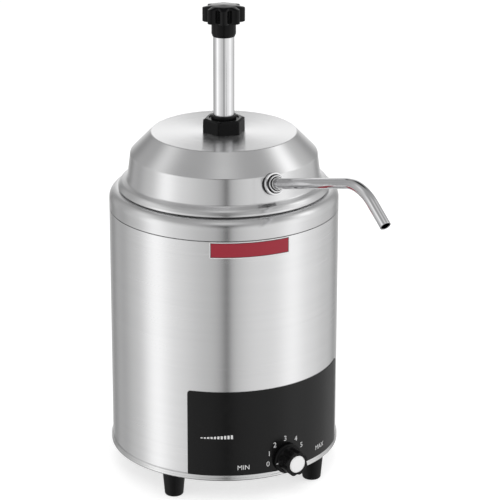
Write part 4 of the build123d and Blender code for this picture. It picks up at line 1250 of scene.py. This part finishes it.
@dataclass
class Plunger:
    """The hand knob, its tube and the piston's pieces."""

    knob_radius: float = 20.0 * MM
    lobes: int = 8
    lobe_azimuth: float = -30.0
    valley: float = 14.0 * MM
    neck: float = 11.6 * MM
    neck_low: float = 434.3 * MM
    head_low: float = 445.8 * MM
    head_high: float = 459.2 * MM
    dome: float = 2.6 * MM
    lip_drop: float = 2.7 * MM
    socket_top: float = 447.0 * MM
    lobe_power: float = 0.6
    tube_radius: float = 10.0 * MM
    tube_wall: float = 1.0 * MM

    def build(self) -> None:
        """Makes and dresses every piece that moves with the knob."""
        self.knob()
        self.tube()
        for node in ("tube_plug", "piston"):
            dress(node, PLASTIC)
        for node in ("piston_rod", "piston_nut", "knob_stud"):
            dress(node, HARDWARE)
        dress("piston_seal", SEAL_RUBBER)

    def knob(self) -> None:
        """Knob: neck, lobed head and low dome.

        The head's radius at an angle is valley + (full - valley) * w, with w a soft wave of the
        angle: w = s^lobe_power, where s runs from 0 in a valley to 1 on a lobe as
        (1 + cos(lobes * angle)) / 2.
        """
        full, top = self.knob_radius, self.head_high + self.dome
        bore, lip = self.tube_radius + 0.05 * MM, self.neck_low - self.lip_drop
        points = [(0.0, self.socket_top), (bore, self.socket_top), (bore, lip),
                  (self.neck - 1.0 * MM, lip), (self.neck, self.neck_low),
                  (self.neck, self.head_low), (full, self.head_low), (full, self.head_high),
                  (full * 0.55, top - 0.7 * MM), (0.0, top)]
        radii = [0.3 * MM, 0.2 * MM, 0.4 * MM, 0.8 * MM, 0.6 * MM, 0.9 * MM, 0.9 * MM,
                 30.0 * MM]
        line = filled(rounded(points, radii, 10), 1.2 * MM)
        front = math.radians(self.lobe_azimuth - 90.0)

        def lobed(radius: np.ndarray, height: np.ndarray, angle: np.ndarray) -> np.ndarray:
            """Draws the head's outside in between its lobes, and leaves the neck round."""
            wave = ((1.0 + np.cos(self.lobes * (angle - front))) / 2.0) ** self.lobe_power
            drawn = (self.valley + (full - self.valley) * wave) / full
            share = np.clip((radius - self.neck) / (full - self.neck), 0.0, 1.0) ** 0.8
            in_head = height > self.head_low - 0.05 * MM
            return np.where(in_head, radius * (1.0 + (drawn - 1.0) * share), radius)

        mesh = turned(line, full_turn(320), lobed, closed=False)
        skin("plunger_knob", mesh, GLOSSY, Body.PLUNGER)

    def tube(self) -> None:
        """Polished tube with lightly broken ends."""
        low, high = (corner[2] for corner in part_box("plunger_tube"))
        line = pipe_line(self.tube_radius, self.tube_radius - self.tube_wall, low, high, 0.3 * MM,
                         8 * MM)
        mesh = turned(line, full_turn(192))
        skin("plunger_tube", mesh, POLISHED, Body.PLUNGER)


@dataclass
class Dial:
    """The temperature knob, laid out along its own axis."""

    azimuth: float = 2.4
    height: float = 41.2 * MM
    back: float = 112.2 * MM
    skirt: float = 14.75 * MM
    skirt_height: float = 2.6 * MM
    grip: float = 12.0 * MM
    grip_tip: float = 12.3 * MM
    grip_length: float = 14.6 * MM
    flutes: int = 8
    flute_floor: float = 10.6 * MM
    flute_power: float = 1.6
    bore: float = 3.05 * MM
    hollow: float = 9.4 * MM
    hollow_depth: float = 3.4 * MM
    cap: float = 8.4 * MM
    cap_depth: float = 0.8 * MM
    cap_rim: float = 1.1 * MM
    cap_rise: float = 0.3 * MM
    number_angles: tuple[float, ...] = (-98.5, -68.0, -39.6, -4.0, 34.0, 66.0)
    pointer_width: float = 0.9 * MM
    pointer_ends: tuple[float, float] = (12.0 * MM, 14.3 * MM)

    @property
    def tip(self) -> float:
        """Distance of the grip's end from the knob's back."""
        return self.skirt_height + self.grip_length

    def place(self) -> Matrix:
        """Matrix from the dial's own axis to the frame."""
        return radial(self.azimuth, self.back, self.height)

    def build(self) -> None:
        """Makes the knob, its bright cap and the pointer line."""
        self.knob()
        self.cap_disc()
        self.pointer()

    def knob(self) -> None:
        """Knob: skirt, and a grip whose outside waves in at each flute.

        The grip's radius is floor + (full - floor) * w at an angle a, with
        w = 1 - ((1 + cos(flutes * a)) / 2)^flute_power.
        """
        tip, seat, edge = self.tip, self.tip - self.cap_depth, self.cap + 0.05 * MM
        depth, rise = self.hollow_depth, self.skirt_height
        points = [(self.bore, depth), (self.hollow, depth), (self.hollow, 0.0), (self.skirt, 0.0),
                  (self.skirt, rise), (self.grip, rise), (self.grip_tip, tip), (edge, tip),
                  (edge, seat), (self.bore, seat), (self.bore, depth)]
        radii = [0.3 * MM, 0.3 * MM, 0.5 * MM, 1.0 * MM, 0.5 * MM, 0.7 * MM, 0.15 * MM, 0.1 * MM,
                 0.1 * MM]
        line = loop(points, radii, 7, 1.5 * MM)

        def fluted(radius: np.ndarray, height: np.ndarray, angle: np.ndarray) -> np.ndarray:
            """Draws the grip in at its flutes, and leaves the skirt and the bore round."""
            turn = self.flutes * (angle + math.pi / 2)
            wave = 1.0 - ((1.0 + np.cos(turn)) / 2.0) ** self.flute_power
            floor = self.flute_floor / self.grip
            on_grip = (height > rise + 0.1 * MM) & (radius > self.cap + 0.2 * MM)
            share = np.clip((height - rise) / (0.8 * MM), 0.0, 1.0)
            return np.where(on_grip, radius * (1.0 - (1.0 - floor) * (1.0 - wave) * share), radius)

        mesh = laid(turned(line, full_turn(256), fluted), self.place())
        skin("dial_knob", mesh, PLASTIC, Body.DIAL)

    def cap_disc(self) -> None:
        """Cap: a pale rim round a finely turned disc."""
        low, high = self.tip - self.cap_depth + 0.05 * MM, self.tip + self.cap_rise
        inside, sunk = self.cap - self.cap_rim, high - 0.15 * MM
        points = [(0.0, low), (self.cap, low), (self.cap, high), (inside, high), (inside, sunk),
                  (0.0, sunk)]
        line = filled(rounded(points, [0.1 * MM, 0.3 * MM, 0.08 * MM, 0.02 * MM], 6), 1.5 * MM)
        mesh = laid(turned(line, full_turn(128), closed=False), self.place())
        skin("dial_cap", mesh, CAP_RIM, Body.DIAL)
        edge, below, above = inside - 0.05 * MM, sunk - 0.01 * MM, high - 0.05 * MM
        face = [(0.0, below), (edge, below), (edge, above), (0.0, above)]
        line = filled(rounded(face, 0.05 * MM, 4), 1.2 * MM)
        mesh = laid(turned(line, full_turn(128), closed=False), self.place())
        finished("dial_cap_face", mesh, CAP_DISC, Body.DIAL)

    def pointer(self) -> None:
        """Pointer: a thin raised white line across the skirt, towards the number 0."""
        half, (start, stop) = self.pointer_width / 2, self.pointer_ends
        low, high = self.skirt_height - 0.05 * MM, self.skirt_height + 0.06 * MM
        around = ((-half, start), (half, start), (half, stop), (-half, stop))
        points = [(*spot, height) for height in (low, high) for spot in around]
        faces = [(0, 3, 2, 1), (4, 5, 6, 7), (0, 1, 5, 4), (1, 2, 6, 5), (2, 3, 7, 6), (3, 0, 4, 7)]
        mesh = bpy.data.meshes.new("line")
        mesh.from_pydata(points, [], faces)
        turn = Matrix.Rotation(-math.radians(self.number_angles[0]), 4, "Z")
        laid(mesh, self.place() @ turn)
        finished("dial_pointer", mesh, WHITE_INK, Body.DIAL)


@dataclass
class CordEntry:
    """The cord gland at the back."""

    height: float = 52.0 * MM
    start: float = 110.4 * MM
    cap_start: float = 4.0 * MM
    cap_length: float = 13.0 * MM
    cap_radius: float = 10.0 * MM
    cap_tip: float = 6.2 * MM
    cap_slope: float = 3.5 * MM
    thread: float = 8.05 * MM
    thread_length: float = 7.5 * MM
    mouth: float = 4.6 * MM
    grooves: int = 12
    groove_depth: float = 0.45 * MM

    def build(self) -> None:
        """Makes the gland's cap and dresses the rest."""
        low, high = self.cap_start, self.cap_start + self.cap_length
        seat = low + self.thread_length
        points = [(self.thread, low), (self.cap_radius, low),
                  (self.cap_radius, high - self.cap_slope), (self.cap_tip, high),
                  (self.mouth, high), (self.mouth, seat), (self.thread, seat), (self.thread, low)]
        radii = [0.3 * MM, 2.5 * MM, 1.2 * MM, 0.4 * MM, 0.3 * MM, 0.3 * MM]

        def ribbed(radius: np.ndarray, height: np.ndarray, angle: np.ndarray) -> np.ndarray:
            """Cuts shallow grooves into the cap's straight side."""
            side = (radius > self.cap_radius - 0.6 * MM) & (height < high - 3.2 * MM)
            wave = np.maximum(0.0, np.cos(self.grooves * angle)) ** 4
            return np.where(side, radius - self.groove_depth * wave, radius)

        mesh = turned(loop(points, radii, 7, 1.5 * MM), full_turn(240), ribbed)
        laid(mesh, radial(180.0, self.start, self.height))
        skin("gland_cap", mesh, PLASTIC, Body.ROOT)
        dress("cord_gland", PLASTIC)
        dress("gland_seal", SEAL_RUBBER)


# ------------------------------------------------------------------------------ studio


@dataclass(frozen=True)
class Glow:
    """A soft bright or dark patch of the studio that the steel reflects.

    Attributes:
        azimuth: Degrees from the camera's azimuth, towards the right of the picture.
        width: Degrees at which it has faded to 1/e.
        strength: What it adds to the studio's base level.
    """

    azimuth: float
    width: float
    strength: float


@dataclass(frozen=True)
class Dome(Glow):
    """A patch with a height, in degrees over the horizon."""

    height: float


@dataclass(frozen=True)
class Lamp:
    """A soft square lamp that aims at the body and that steel doesn't mirror.

    Attributes:
        name: The lamp's name.
        place: Its position.
        size: Side of its panel.
        power: Its power in watts.
    """

    name: str
    place: tuple[float, float, float]
    size: float
    power: float

    def build(self) -> None:
        """Adds the lamp to the scene."""
        data = bpy.data.lights.new(self.name, "AREA")
        data.size, data.energy = self.size, self.power
        made = bpy.data.objects.new(self.name, data)
        made.location = self.place
        aim = Vector((0.0, 0.0, 0.2)) - Vector(self.place)
        made.rotation_euler = aim.to_track_quat("-Z", "Y").to_euler()
        made.visible_glossy = False
        bpy.context.scene.collection.objects.link(made)


@dataclass
class Studio:
    """Floor, light and camera."""

    camera_azimuth: float = -30.0
    distance: float = 2183.4 * MM
    camera_height: float = 989.9 * MM
    yaw: float = 0.0115
    pitch: float = 0.3396
    roll: float = 0.0023
    focal_pixels: float = 2393.1
    frame_pixels: float = 500.0
    sensor: float = 36.0
    low_level: float = 1.0
    high_level: float = 0.51
    least_level: float = 0.02
    fade_heights: tuple[float, float] = (0.45, 0.72)
    floor_radius: float = 14.0
    floor_color: Color = (0.55, 0.55, 0.55)
    floor_glow: float = 0.62
    bounce_color: Color = (0.8, 0.8, 0.8)
    sides: tuple[Glow, ...] = (
        Glow(-150.0, 15.0, -0.62), Glow(-122.0, 15.0, -0.44), Glow(-97.0, 15.0, -0.20),
        Glow(-73.0, 15.0, 0.44), Glow(-27.0, 15.0, -0.12), Glow(0.0, 22.0, -0.34),
        Glow(1.5, 6.5, -0.20), Glow(3.0, 2.5, -0.28), Glow(73.0, 15.0, 0.33),
        Glow(122.0, 15.0, -0.21), Glow(150.0, 15.0, -0.55))
    domes: tuple[Dome, ...] = (
        Dome(0.0, 15.0, -0.46, 45.0), Dome(0.0, 12.0, 0.63, 75.0), Dome(109.0, 12.0, 1.31, 41.0),
        Dome(-107.0, 12.0, 0.57, 42.0), Dome(180.0, 14.0, -1.0, 42.0), Dome(180.0, 8.0, 1.1, 9.0),
        Dome(0.0, 34.0, -1.2, -90.0))
    lamps: tuple[Lamp, ...] = (
        Lamp("key_lamp", (-1.2, -1.6, 2.2), 1.6, 26.0),
        Lamp("fill_lamp", (1.8, -0.6, 1.8), 1.6, 14.0),
        Lamp("top_lamp", (0.1, 0.5, 2.6), 2.0, 16.0))

    def build(self) -> None:
        """Makes the camera, the floor, the world and the lamps."""
        bpy.context.scene.view_settings.view_transform = "Standard"
        self.camera()
        self.floor()
        self.world()
        for lamp in self.lamps:
            lamp.build()

    def camera(self) -> None:
        """Camera where the photograph was taken, turned a little off the body's axis."""
        turns = (self.yaw, self.pitch, self.roll)
        sy, sp, sr = map(math.sin, turns)
        cy, cp, cr = map(math.cos, turns)
        ahead = Vector((sy * cp, cy * cp, -sp))
        level = Vector((cy, -sy, 0.0))
        upright = level.cross(ahead)
        right, up = level * cr + upright * sr, upright * cr - level * sr
        turn = Matrix.Rotation(math.radians(self.camera_azimuth), 4, "Z")
        data = bpy.data.cameras.new("camera")
        data.sensor_width = self.sensor
        data.lens = self.focal_pixels / self.frame_pixels * self.sensor
        data.clip_start, data.clip_end = 0.05, 60.0
        made = bpy.data.objects.new("camera", data)
        axes = Matrix((right, up, -ahead)).transposed().to_4x4()
        spot = Matrix.Translation((0.0, -self.distance, self.camera_height))
        made.matrix_world = turn @ spot @ axes
        bpy.context.scene.collection.objects.link(made)
        bpy.context.scene.camera = made

    def floor(self) -> None:
        """Floor: a wide pale disc that keeps the shadow, and that steel sees straight through."""
        mesh = bpy.data.meshes.new("floor")
        turn = full_turn(64)
        ring = np.stack([np.cos(turn), np.sin(turn), np.zeros_like(turn)], -1) * self.floor_radius
        mesh.from_pydata(ring.tolist(), [], [list(range(len(turn)))])
        floor = bpy.data.objects.new("floor", mesh)
        bpy.context.scene.collection.objects.link(floor)
        material = bpy.data.materials.new("floor_pale")
        material.use_nodes = True
        graph = Graph(material.node_tree)
        matte = graph.node("ShaderNodeBsdfDiffuse")
        matte.inputs["Color"].default_value = (*self.floor_color, 1.0)
        glow = graph.node("ShaderNodeEmission")
        glow.inputs["Strength"].default_value = self.floor_glow
        lit = graph.node("ShaderNodeAddShader")
        graph.feed(lit.inputs[0], matte.outputs[0])
        graph.feed(lit.inputs[1], glow.outputs[0])
        plain = graph.node("ShaderNodeBsdfDiffuse")
        plain.inputs["Color"].default_value = (*self.bounce_color, 1.0)
        clear = graph.node("ShaderNodeBsdfTransparent")
        ray = graph.node("ShaderNodeLightPath")
        seen = graph.mixed(ray.outputs["Is Camera Ray"], plain, lit)
        mirror = graph.mixed(ray.outputs["Is Glossy Ray"], seen, clear)
        out = graph.node("ShaderNodeOutputMaterial")
        graph.feed(out.inputs["Surface"], mirror.outputs[0])
        mesh.materials.append(material)
        floor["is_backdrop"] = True

    def world(self) -> None:
        """World: white where the camera looks, and elsewhere a studio of soft patches.

        A patch adds strength * exp(-(angle from its middle / width)^2). Side patches go by azimuth
        alone and fade out high up; dome patches go by the true angle from their direction.
        """
        world = bpy.data.worlds.new("studio")
        world.use_nodes = True
        bpy.context.scene.world = world
        graph = Graph(world.node_tree)
        way = graph.node("ShaderNodeTexCoord").outputs["Generated"]
        split = graph.node("ShaderNodeSeparateXYZ")
        graph.feed(split.inputs[0], way)
        x, y, z = split.outputs
        azimuth = graph.math("ARCTAN2", x, graph.math("MULTIPLY", y, -1.0))
        level: object = self.low_level - self.high_level
        for glow in self.sides:
            centre = math.radians(self.camera_azimuth + glow.azimuth)
            away = graph.math("WRAP", graph.math("SUBTRACT", azimuth, centre), math.pi)
            away.node.inputs[2].default_value = -math.pi
            level = self.patch(graph, level, away, glow)
        start, stop = self.fade_heights
        level = graph.math("MULTIPLY", level, graph.remap(z, 1.0, 0.0, start, stop))
        level = graph.math("ADD", level, self.high_level)
        for dome in self.domes:
            turn, rise = math.radians(self.camera_azimuth + dome.azimuth), math.radians(dome.height)
            flat = math.cos(rise)
            aim = (math.sin(turn) * flat, -math.cos(turn) * flat, math.sin(rise))
            dot = graph.node("ShaderNodeVectorMath", operation="DOT_PRODUCT")
            graph.feed(dot.inputs[0], way)
            dot.inputs[1].default_value = aim
            away = graph.math("ARCCOSINE", dot.outputs["Value"])
            level = self.patch(graph, level, away, dome)
        studio = graph.node("ShaderNodeBackground")
        graph.feed(studio.inputs["Strength"], graph.math("MAXIMUM", level, self.least_level))
        white = graph.node("ShaderNodeBackground")
        ray = graph.node("ShaderNodeLightPath")
        pick = graph.mixed(ray.outputs["Is Camera Ray"], studio, white)
        out = graph.node("ShaderNodeOutputWorld")
        graph.feed(out.inputs["Surface"], pick.outputs[0])

    @staticmethod
    def patch(graph: Graph, level: object, away: bpy.types.NodeSocket,
              glow: Glow) -> bpy.types.NodeSocket:
        """Adds one soft patch to the level.

        Args:
            graph: The world's graph.
            level: The level so far.
            away: Angle from the patch's middle, in radians.
            glow: The patch.

        Returns:
            The new level.
        """
        share = graph.math("DIVIDE", away, math.radians(glow.width))
        square = graph.math("MULTIPLY", share, share)
        fade = graph.math("EXPONENT", graph.math("MULTIPLY", square, -1.0))
        return graph.math("ADD", graph.math("MULTIPLY", fade, glow.strength), level)


def corners() -> list[list[float]]:
    """The shown object's lowest and highest corner as plain lists."""
    bpy.context.view_layer.update()
    return [list(corner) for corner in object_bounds()]


def main() -> None:
    """Builds the sub-assemblies in order and reports each piece."""
    logging.basicConfig(level=logging.INFO, format="%(name)s: %(message)s")
    frame_box = corners()
    Studio().build()
    casing, dial = Casing(), Dial()
    for part in (casing, Panel(casing, dial), CordEntry(), dial, Jar(), Lid(), Plunger()):
        part.build()
    {"frame": frame_box, "visual": corners()}
    LOG.info("frame %s, visual %s", frame_box, corners())


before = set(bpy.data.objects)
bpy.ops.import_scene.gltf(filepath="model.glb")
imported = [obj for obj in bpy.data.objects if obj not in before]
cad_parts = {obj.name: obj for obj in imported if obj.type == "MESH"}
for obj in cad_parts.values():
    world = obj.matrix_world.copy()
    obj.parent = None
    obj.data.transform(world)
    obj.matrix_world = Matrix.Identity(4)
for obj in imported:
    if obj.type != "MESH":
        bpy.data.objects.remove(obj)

if __name__ == "__main__":
    main()
